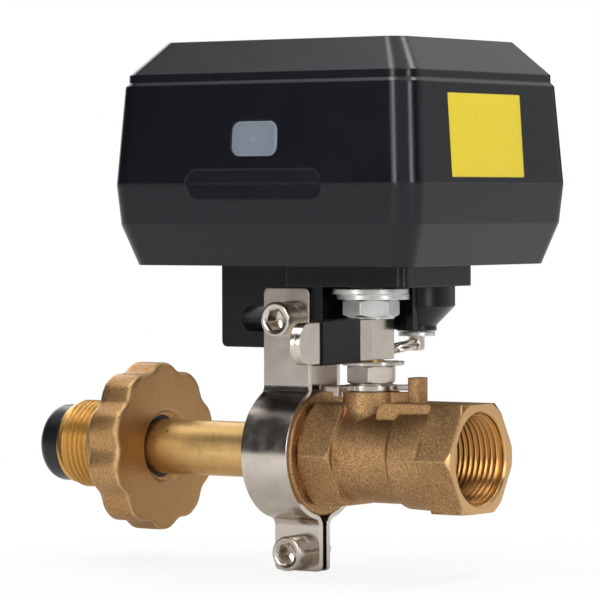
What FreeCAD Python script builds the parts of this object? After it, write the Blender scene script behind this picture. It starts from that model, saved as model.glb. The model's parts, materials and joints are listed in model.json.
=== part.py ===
import FreeCAD, Part
import math
import os

os.makedirs("parts", exist_ok=True)
V = FreeCAD.Vector

# Motorized ball valve for a gas cylinder, in millimetres.
# The origin is the centre of the outlet port's end face, +X points out of
# the port along the pipe, +Z points up to the actuator, -Y is the button side.

# Shared small sizes
over = 1.0
close = 0.01
edge_break = 0.5
nut_chamfer_share = 0.55
nut_seat_share = 0.95
cross_reach = 1.3
cross_half_width = 0.3
cross_depth = 1.2
driver_slot_half = 0.3
driver_slot_depth = 0.8

# Valve body
stem_x = -31.4
port_hex_flats = 26.0
port_hex_length = 9.3
port_face_radius = 13.8
port_chamfer_length = 1.0
port_thread_radius = 10.95
port_thread_depth = 13.0
port_mouth_radius = 11.5
port_cap_run = 2.0
port_cap_drop = 3.0
thread_relief = 3.0
bore_radius = 5.5
neck_end_radius = 12.7
body_radius = 11.6
step_x = -18.6
step_run = 1.3
left_hex_flats = 24.5
left_hex_end_x = -34.9
left_hex_chamfer = 1.7
left_hex_back_chamfer = 0.8
body_left_x = -44.8
chamber_radius = 9.9
neck_radius = 6.9
neck_top = 15.4
neck_flare_top = 11.8
neck_flare_bottom = 7.2
neck_flare_reach = 2.2
neck_flare_steps = 8
pad_half_width = 7.2
pad_start = 6.2
pad_reach = 25.1
pad_round = 2.7
stop_lug_inner = 11.9
stop_lug_length = 3.0
stop_lug_half_width = 2.65
stop_lug_top = 19.0
stop_lug_round = 0.9
stop_web_half_width = 1.3

# Ball, seats and stem
ball_radius = 9.3
seat_gap = 0.05
seat_length = 3.3
seat_outer_radius = 9.8
seat_reach = 6.0
stem_radius = 3.0
stem_collar_radius = 4.6
stem_collar_bottom = 9.7
stem_collar_top = 11.3
stem_flats = 3.3
stem_top = 47.0
tang_width = 4.0
tang_length = 8.0
tang_bottom = 6.5
packing_radius = 5.2
packing_drop = 0.4
seat_bore_gap = 0.3
running_gap = 0.05
small_gap = 0.3

# Stack of plates and nuts on the stem
stop_plate_bottom = 15.6
stop_plate_thickness = 1.3
stop_plate_radius = 6.5
stop_wing_radius = 12.6
stop_ear_drop = 1.0
stop_ear_width = 1.3
stop_ear_angle = 8.0
stop_right_wing_angle = 24.0
stop_left_wing_angle = 52.0
stop_gap_angle = 0.3
stem_quarter_turn = 90.0
lower_nut_bearing = -63.2
upper_nut_bearing = -79.2
nut_face_height = 0.5
lower_nut_flats = 11.0
lower_nut_height = 4.3
thin_washer_radius = 7.5
thin_washer_bore = 3.6
thin_washer_shift = (0.45, 0.3)
thin_washer_thickness = 0.9
lever_height = 9.8
lever_gap_below = 0.45
lever_gap_above = 0.1
upper_nut_flats = 12.0
upper_nut_height = 4.15
large_washer_radius = 9.3
lower_washer_radius = 8.8
large_washer_thickness = 1.3
large_washer_offset = 0.35

# Lever and grip
lever_rest_angle = 7.6
lever_strip = 1.2
lever_tip = 40.5
lever_hub_half_width = 2.85
lever_hub_front = 5.1
lever_hub_rear = 7.6
lever_bend_radius = 1.0
lever_slant_end = 9.1
lever_slant_shift = 0.2
lever_arm_half_width = 1.25
grip_start = 9.3
grip_end = 29.2
grip_wall = 0.45

# Adapter, tube and seal
adapter_end_x = -58.2
tube_radius = 6.85
tube_bore = 4.5
tube_socket_depth = 9.0
spigot_radius = 10.4
tube_end_x = -126.6
tube_nose_chamfer = 0.6
seal_radius = 9.65
seal_nose_reach = 0.7
seal_length = 6.35
seal_nose_x = tube_end_x - seal_nose_reach
seal_back_x = seal_nose_x + seal_length
seal_core_radius = 6.0
seal_nose_round = 3.0
seal_lip = 1.0

# Handwheel nut, which rests against the seal
wheel_seal_gap = 0.25
wheel_thread_length = 10.5
wheel_hub_length = 7.6
wheel_thickness = 9.2
wheel_thread_end_x = seal_back_x + wheel_seal_gap
wheel_hub_end_x = wheel_thread_end_x + wheel_thread_length
wheel_back_x = wheel_hub_end_x + wheel_hub_length
wheel_front_x = wheel_back_x + wheel_thickness
wheel_radius = 21.0
wheel_lobes = 10
wheel_first_lobe = 18.0
wheel_scallop_radius = 3.6
wheel_scallop_depth = 1.45
wheel_lobe_round = 1.8
wheel_edge = 0.6
wheel_hub_radius = 11.4
wheel_thread_radius = 11.0
wheel_lead_length = 1.6
wheel_lead_drop = 0.9
wheel_lead_chamfer = 0.5
wheel_hub_fillet = 1.0
wheel_bore = 7.8
wheel_countersink_radius = 9.05
wheel_countersink_depth = 1.3
bush_length = 8.0
bush_inset = 2.0

# Pipe clamp
strap_width = 13.4
strap_thickness = 1.2
strap_centre_x = -51.8
strap_inner_radius = 15.3
strap_bend = 2.0
upper_tab_inner = 5.4
upper_tab_top = 40.2
lower_tab_inner = 0.9
lower_tab_bottom = -29.0
tab_corner = 1.3
upper_screw_z = 32.7
lower_screw_z = -24.5
screw_radius = 2.5
screw_hole_radius = 2.75
screw_head_radius = 4.25
screw_head_height = 5.0
screw_socket_flats = 4.0
screw_socket_depth = 2.6
socket_turn = 10.0
screw_head_edge = 0.4
clamp_nut_flats = 8.0
clamp_nut_height = 4.0
screw_tail = 1.0

# Base plate with its lug
plate_left_x = -47.5
plate_right_x = -12.5
plate_front_y = -14.4
plate_back_y = 16.6
plate_bottom = 40.8
plate_corner = 2.0
lug_left_x = -72.0
lug_right_x = -42.0
lug_bottom = 25.6
lug_corner = 1.5
lug_slot_left_x = -66.0
lug_slot_height = 6.1
web_left_x = -46.5
web_right_x = -26.0
web_front_y = 10.2
web_thickness = 3.0
web_bottom = 30.0

# Housing: one section per height, inset from the widest line
housing_x = -40.8
housing_y = 0.8
housing_half_length = 43.9
housing_half_depth = 35.9
housing_bottom = 46.0
chamfer_top = 55.9
parting_z = 65.4
ledge_z = 89.1
band_bottom = 90.0
slope_bottom = 91.8
housing_top = 99.8
bottom_inset = 4.35
chamfer_inset = 0.82
ledge_inset = 1.6
band_inset = 2.35
top_inset = 9.45
housing_corner = 5.5
band_corner = 5.2
top_corner = 4.0
housing_wall = 2.5
seal_width = 1.2
seal_height = 1.2
boss_screw_radius = 1.5
boss_radius = 3.6
boss_inset = 8.5
cover_boss_height = 13.0
rib_thickness = 1.4
rib_end_inset = 1.8
screw_head_sink = 3.0
cover_head_top = housing_bottom + screw_head_sink
cover_head_radius = 2.9
cover_head_rise = 0.4
cover_screw_bite = 9.0
plate_screw_inset = 4.0
plate_screw_y = 7.0
plate_screw_radius = 1.25
plate_screw_head = 2.5

# Bare recess in the front wall
recess_centre_x = -41.7
recess_length = 39.0
recess_height = 7.0
recess_depth = 0.4
recess_corner = 3.15

# Indicator button
button_x = -41.4
button_z = 76.1
button_length = 13.0
button_height = 8.3
button_corner = 2.3
button_proud = 0.3
button_travel = 0.8
button_gap = 0.15
button_flange = 1.0
button_seat_gap = 0.45
button_stem_length = 3.0
button_flange_reach = 1.2
button_flange_corner = 3.1
button_edge = 0.4
button_stem_side = 5.0
button_stem_corner = 1.0
button_switch_side = 6.0

# Circuit board
board_behind_wall = 8.7
board_side_gap = 20.0
board_front_y = housing_y - housing_half_depth + board_behind_wall
board_thickness = 1.6
board_left_x = housing_x - housing_half_length + board_side_gap
board_right_x = housing_x + housing_half_length - board_side_gap
board_bottom = 60.0
board_top = 86.0
guide_width = 5.0
guide_depth = 4.6
guide_height = 74.0
guide_bite = 1.5
board_hole_radius = 1.2
board_hole_inset = 10.0
board_hole_drop = 4.0
relay_size = (12.0, 8.0, 10.0)
relay_place = (board_left_x + 2.5, 66.0)
chip_size = (8.0, 1.6, 8.0)
chip_place = (-44.0, 68.0)
socket_size = (2.5, 4.0, 6.0)
socket_place = (-49.0, 78.0)
capacitor_radius = 3.0
capacitor_height = 11.0
capacitor_place = (board_right_x - 7.0, 66.0)

# Gear train
gear_module = 1.0
output_teeth = 26
clutch_teeth = 14
motor_teeth = 12
pressure_angle = 20.0
tooth_addendum = 0.7
tooth_dedendum = 1.15
tooth_backlash = 0.28
gear_bottom = 56.0
gear_thickness = 4.0
clutch_travel = 4.5
gearbox_plate_bottom = 64.0
gearbox_plate_thickness = 1.6
motor_radius = 8.5
clutch_distance = gear_module * (output_teeth + clutch_teeth) / 2.0
motor_distance = gear_module * (clutch_teeth + motor_teeth) / 2.0
gearbox_left_reach = 5.6
gearbox_right_reach = 17.0
gearbox_left_x = stem_x - motor_distance - motor_radius - gearbox_left_reach
gearbox_right_x = stem_x + gearbox_right_reach
gearbox_front_y = -14.0
gearbox_back_y = clutch_distance + motor_radius
post_radius = 3.0
post_inset = 3.5
gearbox_plate_corner = 3.0
gearbox_screw_radius = 1.25
gearbox_head_radius = 2.4
gearbox_head_height = 1.8
output_shaft_radius = 5.5
output_journal_radius = 3.0
output_bush_wall = 1.8
bush_radius = output_shaft_radius + output_bush_wall
output_shaft_drop = 0.35
output_shoulder_rise = 2.5
output_journal_rise = 1.5
gear_hub_wall = 1.5
gear_hub_height = 2.0
gear_web_holes = 5
gear_web_hole_radius = 1.6
gear_web_hole_reach = 8.8
gear_web_hole_start = 20.0
motor_gearbox_height = 12.0
motor_top = 90.5
motor_can_radius = 7.8
motor_shaft_radius = 1.5
motor_step_chamfer = 0.8
motor_top_chamfer = 1.0
motor_shaft_depth = 6.0
motor_hole_gap = 1.0
pinion_drop = 0.5

# Clutch
boss_outer_radius = 9.55
boss_cone_top = 35.5
boss_cone_bottom = 30.8
boss_tip_radius = 5.0
boss_tip_bottom = 29.5
boss_chamber_radius = 5.2
boss_floor = 36.0
clutch_pin_radius = 2.0
clutch_journal_radius = 2.5
clutch_pin_bottom = 24.6
clutch_pin_top = 70.0
clutch_shoulder_radius = 4.6
clutch_shoulder_height = 1.0
clutch_pin_chamfer = 0.4
clutch_gear_gap = 0.05
clutch_washer_radius = 4.6
clutch_washer_thickness = 1.0
clutch_clip_radius = 4.2
clutch_clip_thickness = 0.8
spring_radius = 3.9
spring_wire = 0.4
spring_turns = 6
ring_radius = 6.4
ring_wire = 0.65
ring_hole_radius = 1.15
ring_hole_z = 26.4
ring_tilt = 14.0
ring_heading = 205.0

# Power inlet on the back wall
inlet_side_gap = 22.7
inlet_x = housing_x - housing_half_length + inlet_side_gap
inlet_z = 74.0
inlet_radius = 5.6
inlet_flange_radius = 7.0
inlet_flange = 1.2
inlet_length = 10.5
inlet_bore = 2.9
inlet_pin = 1.0
inlet_nut_flats = 13.0
inlet_nut_height = 2.6
inlet_nut_gap = 0.6
inlet_floor = 2.0
inlet_pin_sink = 0.5

seat_end = seat_reach + seat_length
stem = V(stem_x, 0, 0)
up = V(0, 0, 1)


def save(shape, name):
    shape.exportStep("parts/" + name + ".step")
    box = shape.BoundBox
    print("%-20s solids %d volume %9.1f  x %7.2f %7.2f  y %7.2f %7.2f  z %7.2f %7.2f" % (
        name, len(shape.Solids), shape.Volume, box.XMin, box.XMax, box.YMin, box.YMax, box.ZMin, box.ZMax))


def rod(radius, bottom, top, x=0.0, y=0.0):
    # Upright cylinder between two heights.
    return Part.makeCylinder(radius, top - bottom, V(x, y, bottom), up)


def bar_x(radius, start, end, y=0.0, z=0.0):
    # Cylinder along X between two places.
    return Part.makeCylinder(radius, end - start, V(start, y, z), V(1, 0, 0))


def bar_y(radius, start, end, x=0.0, z=0.0):
    # Cylinder along Y between two places.
    return Part.makeCylinder(radius, end - start, V(x, start, z), V(0, 1, 0))


def block(x0, x1, y0, y1, z0, z1):
    return Part.makeBox(x1 - x0, y1 - y0, z1 - z0, V(x0, y0, z0))


def polygon(points):
    return Part.makePolygon(points + [points[0]])


def turned_x(points):
    # Turns a half outline of (x, radius) pairs about the pipe axis.
    face = Part.Face(polygon([V(x, 0, radius) for x, radius in points]))
    return face.revolve(V(0, 0, 0), V(1, 0, 0), 360)


def turned_z(points, x, y):
    # Turns a half outline of (radius, z) pairs about an upright axis.
    face = Part.Face(polygon([V(x + radius, y, z) for radius, z in points]))
    return face.revolve(V(x, y, 0), up, 360)


def hexagon(flats, angle=0.0):
    # Corners of a hexagon with the given width across flats.
    corner = flats / math.sqrt(3.0)
    turns = [math.radians(angle + 60.0 * k) for k in range(6)]
    return [(corner * math.cos(t), corner * math.sin(t)) for t in turns]


def hex_upright(flats, bottom, top, x, y, angle=0.0):
    face = Part.Face(polygon([V(x + a, y + b, bottom) for a, b in hexagon(flats, angle)]))
    return face.extrude(V(0, 0, top - bottom))


def hex_along_x(flats, start, end, angle=0.0):
    face = Part.Face(polygon([V(start, a, b) for a, b in hexagon(flats, angle)]))
    return face.extrude(V(end - start, 0, 0))


def hex_along_y(flats, start, end, x, z, angle=0.0):
    face = Part.Face(polygon([V(x + a, start, z + b) for a, b in hexagon(flats, angle)]))
    return face.extrude(V(0, end - start, 0))


def slab(x0, x1, y0, y1, z0, z1, corner):
    # Upright block whose four standing edges are rounded.
    section = rounded_wire(x0, x1, y0, y1, z0, corner)
    return Part.Face(section).extrude(V(0, 0, z1 - z0))


def rounded_wire(x0, x1, y0, y1, z, corner):
    # Level rectangle with round corners, from four lines and four arcs.
    k = corner * (1.0 - math.sqrt(0.5))
    sides = [
        (V(x0 + corner, y0, z), V(x1 - corner, y0, z), V(x1 - k, y0 + k, z)),
        (V(x1, y0 + corner, z), V(x1, y1 - corner, z), V(x1 - k, y1 - k, z)),
        (V(x1 - corner, y1, z), V(x0 + corner, y1, z), V(x0 + k, y1 - k, z)),
        (V(x0, y1 - corner, z), V(x0, y0 + corner, z), V(x0 + k, y0 + k, z)),
    ]
    edges = []
    for n, (start, end, middle) in enumerate(sides):
        after = sides[(n + 1) % 4][0]
        edges.append(Part.LineSegment(start, end).toShape())
        edges.append(Part.Arc(end, middle, after).toShape())
    return Part.Wire(edges)


def rounded_front(x, z, length, height, corner, front, back):
    # Rounded rectangle in the XZ plane, pushed from front to back along Y.
    flat = rounded_wire(-length / 2, length / 2, -height / 2, height / 2, 0.0, corner)
    solid = Part.Face(flat).extrude(V(0, 0, back - front))
    solid.rotate(V(0, 0, 0), V(1, 0, 0), -90)
    solid.translate(V(x, front, z))
    return solid


# Housing shells

def housing_sections():
    # Height, inset and corner radius of each section, bottom to top.
    return [
        (housing_bottom, bottom_inset, top_corner),
        (chamfer_top, chamfer_inset, housing_corner),
        (parting_z, 0.0, housing_corner),
        (ledge_z, ledge_inset, housing_corner),
        (band_bottom, band_inset, band_corner),
        (slope_bottom, band_inset, band_corner),
        (housing_top, top_inset, top_corner),
    ]


def housing_wire(z, inset, corner):
    return rounded_wire(
        housing_x - housing_half_length + inset, housing_x + housing_half_length - inset,
        housing_y - housing_half_depth + inset, housing_y + housing_half_depth - inset, z, corner)


def stack_of_sections(sections):
    # Ruled skins between neighbouring sections, joined into one solid.
    solid = None
    for low, high in zip(sections[:-1], sections[1:]):
        piece = Part.makeLoft([housing_wire(*low), housing_wire(*high)], True, True)
        solid = piece if solid is None else solid.fuse(piece)
    return solid


def wall_inset_at(z):
    # Inset of the outer wall at a height between the chamfer and the ledge.
    if z < parting_z:
        share = (parting_z - z) / (parting_z - chamfer_top)
        return chamfer_inset * share
    share = (z - parting_z) / (ledge_z - parting_z)
    return ledge_inset * share


def inner(section, lift=0.0):
    z, inset, corner = section
    return (z + lift, inset + housing_wall, max(corner - housing_wall, 1.0))


def front_wall_y(z):
    return housing_y - housing_half_depth + wall_inset_at(z)


def cover_screw_places():
    half_x = housing_half_length - boss_inset
    half_y = housing_half_depth - boss_inset
    return [(housing_x + sx * half_x, housing_y + sy * half_y) for sx in (-1, 1) for sy in (-1, 1)]


def boss_rib(x, y, bottom, top):
    # Upright rib from a cover screw's boss into the nearer end wall.
    side = 1 if x > housing_x else -1
    x0, x1 = sorted((x, housing_x + side * (housing_half_length - rib_end_inset)))
    return block(x0, x1, y - rib_thickness / 2, y + rib_thickness / 2, bottom, top)


def post_places():
    xs = (gearbox_left_x + post_inset, gearbox_right_x - post_inset)
    ys = (gearbox_front_y + post_inset, gearbox_back_y - post_inset)
    return [(x, y) for x in xs for y in ys]


def board_guide(x_edge, side):
    # Upright guide that holds one edge of the circuit board in a slot.
    x0, x1 = sorted((x_edge - side * guide_bite, x_edge + side * (guide_width - guide_bite)))
    y_middle = board_front_y + board_thickness / 2
    guide = block(x0, x1, y_middle - guide_depth / 2, y_middle + guide_depth / 2,
                  housing_bottom + housing_wall, guide_height)
    return guide


def board_slot():
    return block(board_left_x, board_right_x, board_front_y, board_front_y + board_thickness,
                 board_bottom, board_top)


def seal_frame(width, bottom, top):
    # Frame that follows the parting line inside the wall.
    middle = housing_wall / 2
    near, far = middle - width / 2, middle + width / 2
    outer = Part.Face(housing_wire(bottom, near, housing_corner - near)).extrude(V(0, 0, top - bottom))
    opening = Part.Face(housing_wire(bottom, far, housing_corner - far)).extrude(V(0, 0, top - bottom))
    return outer.cut(opening)


def lower_housing():
    outside = housing_sections()[:3]
    shell = stack_of_sections(outside)
    floor = inner(outside[0], housing_wall)
    cavity = stack_of_sections([floor, inner(outside[1]), inner(outside[2])])
    shell = shell.cut(cavity)
    for x, y in cover_screw_places():
        shell = shell.fuse(rod(boss_radius, housing_bottom + housing_wall / 2, parting_z, x, y))
        shell = shell.fuse(boss_rib(x, y, chamfer_top, parting_z))
    for x, y in post_places():
        shell = shell.fuse(rod(post_radius, housing_bottom + housing_wall / 2, gearbox_plate_bottom, x, y))
    shell = shell.fuse(board_guide(board_left_x, -1)).fuse(board_guide(board_right_x, 1))
    shell = shell.cut(board_slot())
    shell = shell.cut(rod(bush_radius, housing_bottom - over, parting_z, stem_x, 0))
    shell = shell.cut(rod(boss_chamber_radius, housing_bottom - over, gear_bottom, stem_x, clutch_distance))
    shell = shell.cut(seal_frame(seal_width, parting_z - seal_height / 2, parting_z + over))
    for x, y in plate_screw_places():
        shell = shell.cut(plate_screw(x, y))
    for x, y in cover_screw_places():
        shell = shell.cut(rod(boss_screw_radius, housing_bottom - over, parting_z + over, x, y))
        shell = shell.cut(rod(cover_head_radius, housing_bottom - over, cover_head_top, x, y))
    return shell.cut(recess_pocket())


def recess_pocket():
    # Shallow bare panel across the parting line of the front wall.
    wall = front_wall_y(parting_z)
    return rounded_front(recess_centre_x, parting_z, recess_length, recess_height, recess_corner,
                         wall - over, wall + recess_depth)


def inlet_seat_y():
    # Outside of the back wall at the top of the inlet's flange, where the wall is furthest in.
    return housing_y + housing_half_depth - wall_inset_at(inlet_z + inlet_flange_radius)


def inlet_hole():
    seat = inlet_seat_y()
    outside = housing_y + housing_half_depth + over
    hole = bar_y(inlet_radius, seat - inlet_length, outside, inlet_x, inlet_z)
    return hole.fuse(bar_y(inlet_flange_radius, seat, outside, inlet_x, inlet_z))


def upper_housing():
    outside = housing_sections()[2:]
    shell = stack_of_sections(outside)
    roof = inner(outside[-1], -housing_wall)
    shoulder = inner(outside[-2])
    cavity = stack_of_sections([inner(outside[0]), inner(outside[1], -over), shoulder, roof])
    shell = shell.cut(cavity)
    for x, y in cover_screw_places():
        shell = shell.fuse(rod(boss_radius, parting_z, parting_z + cover_boss_height, x, y))
        shell = shell.fuse(boss_rib(x, y, parting_z, parting_z + cover_boss_height))
        shell = shell.cut(rod(boss_screw_radius, parting_z - over, parting_z + cover_screw_bite + over, x, y))
    shell = shell.cut(seal_frame(seal_width, parting_z - over, parting_z + seal_height / 2))
    shell = shell.cut(recess_pocket())
    wall = front_wall_y(button_z)
    hole = rounded_front(button_x, button_z, button_length + 2 * button_gap, button_height + 2 * button_gap,
                         button_corner + button_gap, wall - over, wall + 2 * housing_wall)
    return shell.cut(hole).cut(inlet_hole())


def housing_seal():
    return seal_frame(seal_width, parting_z - seal_height / 2, parting_z + seal_height / 2)


def cross_recess(x, y, bottom):
    # Cross-shaped driver recess going up from the underside of a screw head.
    a, b = cross_reach, cross_half_width
    along_x = block(x - a, x + a, y - b, y + b, bottom - over, bottom + cross_depth)
    return along_x.fuse(block(x - b, x + b, y - a, y + a, bottom - over, bottom + cross_depth))


def housing_screws():
    screws = []
    for x, y in cover_screw_places():
        head_bottom = housing_bottom + cover_head_rise
        head = rod(cover_head_radius, head_bottom, cover_head_top, x, y)
        shank = rod(boss_screw_radius, cover_head_top, parting_z + cover_screw_bite, x, y)
        screws.append(head.fuse(shank).cut(cross_recess(x, y, head_bottom)))
    return Part.makeCompound(screws)


# Base plate, lug and clutch boss

def base_plate():
    plate = slab(plate_left_x, plate_right_x, plate_front_y, plate_back_y,
                 plate_bottom, housing_bottom, plate_corner)
    lug_section = rounded_front((lug_left_x + lug_right_x) / 2, (lug_bottom + housing_bottom) / 2,
                                lug_right_x - lug_left_x, housing_bottom - lug_bottom, lug_corner,
                                -upper_tab_inner, upper_tab_inner)
    square_top = block(lug_left_x, lug_right_x, -upper_tab_inner, upper_tab_inner,
                       housing_bottom - 2 * lug_corner, housing_bottom)
    web = block(web_left_x, web_right_x, web_front_y, web_front_y + web_thickness, web_bottom, plate_bottom)
    slot_right = strap_centre_x + screw_hole_radius
    half = lug_slot_height / 2
    slot = block(lug_slot_left_x + half, slot_right, -upper_tab_inner, upper_tab_inner,
                 upper_screw_z - half, upper_screw_z + half)
    slot = slot.fuse(bar_y(half, -upper_tab_inner, upper_tab_inner, lug_slot_left_x + half, upper_screw_z))
    slot = slot.fuse(bar_y(half, -upper_tab_inner, upper_tab_inner, slot_right, upper_screw_z))
    plate = plate.fuse(lug_section).fuse(square_top).fuse(web).cut(slot)
    boss_place = rod(boss_outer_radius, web_bottom - over, housing_bottom + over, stem_x, clutch_distance)
    plate = plate.cut(boss_place)
    for x, y in plate_screw_places():
        plate = plate.cut(plate_screw(x, y))
    return plate.cut(rod(bush_radius, plate_bottom - over, housing_bottom + over, stem_x, 0))


def plate_screw_places():
    xs = (plate_left_x + plate_screw_inset, plate_right_x - plate_screw_inset)
    return [(x, y) for x in xs for y in (-plate_screw_y, plate_screw_y)]


def plate_screw(x, y):
    # Countersunk screw from below into the housing floor.
    neck = plate_bottom + plate_screw_head - plate_screw_radius
    tip = housing_bottom + housing_wall - small_gap
    outline = [(0.0, plate_bottom), (plate_screw_head, plate_bottom), (plate_screw_radius, neck),
               (plate_screw_radius, tip), (0.0, tip)]
    return turned_z(outline, x, y)


def plate_screws():
    screws = []
    for x, y in plate_screw_places():
        screws.append(plate_screw(x, y).cut(cross_recess(x, y, plate_bottom)))
    return Part.makeCompound(screws)


def clutch_boss():
    outline = [
        (clutch_pin_radius + running_gap, boss_tip_bottom), (boss_tip_radius, boss_tip_bottom),
        (boss_tip_radius, boss_cone_bottom), (boss_outer_radius, boss_cone_top),
        (boss_outer_radius, housing_bottom), (boss_chamber_radius, housing_bottom),
        (boss_chamber_radius, boss_floor), (clutch_pin_radius + running_gap, boss_floor),
    ]
    return turned_z(outline, stem_x, clutch_distance)


def output_bush():
    outer = rod(bush_radius, plate_bottom, housing_bottom + housing_wall, stem_x, 0)
    return outer.cut(rod(output_shaft_radius + running_gap, plate_bottom - over, parting_z, stem_x, 0))


# Gears and drive

def involute(base, radius):
    # Angle swept by the involute of the base circle out to a radius.
    if radius <= base:
        return 0.0
    tangent = math.sqrt((radius / base) ** 2 - 1.0)
    return tangent - math.atan(tangent)


def gear(teeth, bottom, top, x, y, tooth_at):
    # Spur gear with involute flanks; tooth_at is the bearing of one tooth in degrees.
    pitch = gear_module * teeth / 2.0
    tip = pitch + tooth_addendum * gear_module
    root = pitch - tooth_dedendum * gear_module
    base = pitch * math.cos(math.radians(pressure_angle))
    half_pitch = math.pi / (2.0 * teeth) - tooth_backlash / (2.0 * pitch)
    levels = [root, max(base, root), (max(base, root) + tip) / 2.0, tip]
    points = []
    for n in range(teeth):
        centre = math.radians(tooth_at + 360.0 * n / teeth)
        half = [half_pitch + involute(base, pitch) - involute(base, level) for level in levels]
        right = [(level, centre - turn) for level, turn in zip(levels, half)]
        left = [(level, centre + turn) for level, turn in zip(levels, half)][::-1]
        points += right + left
    wire = polygon([V(x + r * math.cos(t), y + r * math.sin(t), bottom) for r, t in points])
    return Part.Face(wire).extrude(V(0, 0, top - bottom))


def output_gear():
    top = gear_bottom + gear_thickness
    wheel = gear(output_teeth, gear_bottom, top, stem_x, 0, 90.0 + 180.0 / output_teeth)
    hub = rod(output_shaft_radius + gear_hub_wall, top, top + gear_hub_height, stem_x, 0)
    wheel = wheel.fuse(hub)
    for k in range(gear_web_holes):
        turn = math.radians(gear_web_hole_start + 360.0 * k / gear_web_holes)
        x = stem_x + gear_web_hole_reach * math.cos(turn)
        y = gear_web_hole_reach * math.sin(turn)
        wheel = wheel.cut(rod(gear_web_hole_radius, gear_bottom - over, top + over, x, y))
    return wheel.cut(rod(output_shaft_radius, gear_bottom - over, gearbox_plate_bottom, stem_x, 0))


def output_shaft():
    bottom = plate_bottom - output_shaft_drop
    shoulder = gear_bottom + gear_thickness + output_shoulder_rise
    body = rod(output_shaft_radius, bottom, shoulder, stem_x, 0)
    top = gearbox_plate_bottom + gearbox_plate_thickness + output_journal_rise
    journal = rod(output_journal_radius, shoulder, top, stem_x, 0)
    return body.fuse(journal).cut(rod(stem_radius, bottom - over, stem_top, stem_x, 0))


def clutch_gear():
    wheel = gear(clutch_teeth, gear_bottom, gear_bottom + gear_thickness, stem_x, clutch_distance, -90.0)
    return wheel.cut(rod(clutch_journal_radius + running_gap, gear_bottom - over, gearbox_plate_bottom,
                         stem_x, clutch_distance))


def motor_pinion():
    x, y = stem_x - motor_distance, clutch_distance
    bottom, top = gear_bottom - clutch_travel - pinion_drop, gearbox_plate_bottom - over
    shaft = rod(motor_shaft_radius, top, gearbox_plate_bottom + motor_shaft_depth, x, y)
    return gear(motor_teeth, bottom, top, x, y, 0.0).fuse(shaft)


def gearbox_plate():
    bottom, top = gearbox_plate_bottom, gearbox_plate_bottom + gearbox_plate_thickness
    plate = slab(gearbox_left_x, gearbox_right_x, gearbox_front_y, gearbox_back_y,
                 bottom, top, gearbox_plate_corner)
    holes = [(output_journal_radius + running_gap, stem_x, 0),
             (clutch_journal_radius + running_gap, stem_x, clutch_distance),
             (motor_shaft_radius + motor_hole_gap, stem_x - motor_distance, clutch_distance)]
    holes += [(gearbox_screw_radius, x, y) for x, y in post_places()]
    for radius, x, y in holes:
        plate = plate.cut(rod(radius, bottom - over, top + over, x, y))
    return plate


def gearbox_screws():
    top = gearbox_plate_bottom + gearbox_plate_thickness
    screws = []
    for x, y in post_places():
        head_top = top + gearbox_head_height
        head = rod(gearbox_head_radius, top, head_top, x, y)
        reach, half = gearbox_head_radius, driver_slot_half
        slot = block(x - reach, x + reach, y - half, y + half, head_top - driver_slot_depth, head_top + over)
        screws.append(head.fuse(rod(gearbox_screw_radius, gearbox_plate_bottom, top, x, y)).cut(slot))
    return Part.makeCompound(screws)


def motor():
    x, y = stem_x - motor_distance, clutch_distance
    bottom = gearbox_plate_bottom + gearbox_plate_thickness
    step = bottom + motor_gearbox_height
    outline = [
        (motor_shaft_radius + running_gap, bottom), (motor_radius, bottom), (motor_radius, step),
        (motor_can_radius, step + motor_step_chamfer), (motor_can_radius, motor_top - motor_top_chamfer),
        (motor_can_radius - motor_top_chamfer, motor_top), (0.0, motor_top),
        (0.0, bottom + motor_shaft_depth), (motor_shaft_radius + running_gap, bottom + motor_shaft_depth),
    ]
    return turned_z(outline, x, y)


# Clutch pieces

def clutch_pin():
    shoulder_top = gear_bottom - clutch_gear_gap
    shoulder_bottom = shoulder_top - clutch_shoulder_height
    outline = [
        (0.0, clutch_pin_bottom), (clutch_pin_radius - clutch_pin_chamfer, clutch_pin_bottom),
        (clutch_pin_radius, clutch_pin_bottom + clutch_pin_chamfer), (clutch_pin_radius, shoulder_bottom),
        (clutch_shoulder_radius, shoulder_bottom), (clutch_shoulder_radius, shoulder_top),
        (clutch_journal_radius, shoulder_top), (clutch_journal_radius, clutch_pin_top),
        (0.0, clutch_pin_top),
    ]
    pin = turned_z(outline, stem_x, clutch_distance)
    hole = bar_x(ring_hole_radius, -2 * clutch_pin_radius, 2 * clutch_pin_radius)
    return pin.cut(place_on_pin(hole, 90.0))


def place_on_pin(shape, extra_turn=0.0):
    # Turns a piece made at the origin to the ring's heading and sets it at the pin's cross hole.
    shape.rotate(V(0, 0, 0), up, ring_heading + extra_turn)
    shape.translate(V(stem_x, clutch_distance, ring_hole_z))
    return shape


def clutch_washer():
    top = boss_tip_bottom - small_gap
    bottom = top - clutch_washer_thickness
    washer = rod(clutch_washer_radius, bottom, top, stem_x, clutch_distance)
    return washer.cut(rod(clutch_pin_radius, bottom - over, top + over, stem_x, clutch_distance))


def clutch_clip():
    bottom = gear_bottom + gear_thickness + clutch_gear_gap
    clip = rod(clutch_clip_radius, bottom, bottom + clutch_clip_thickness, stem_x, clutch_distance)
    return clip.cut(rod(clutch_journal_radius, bottom - over, bottom + 2 * over, stem_x, clutch_distance))


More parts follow.
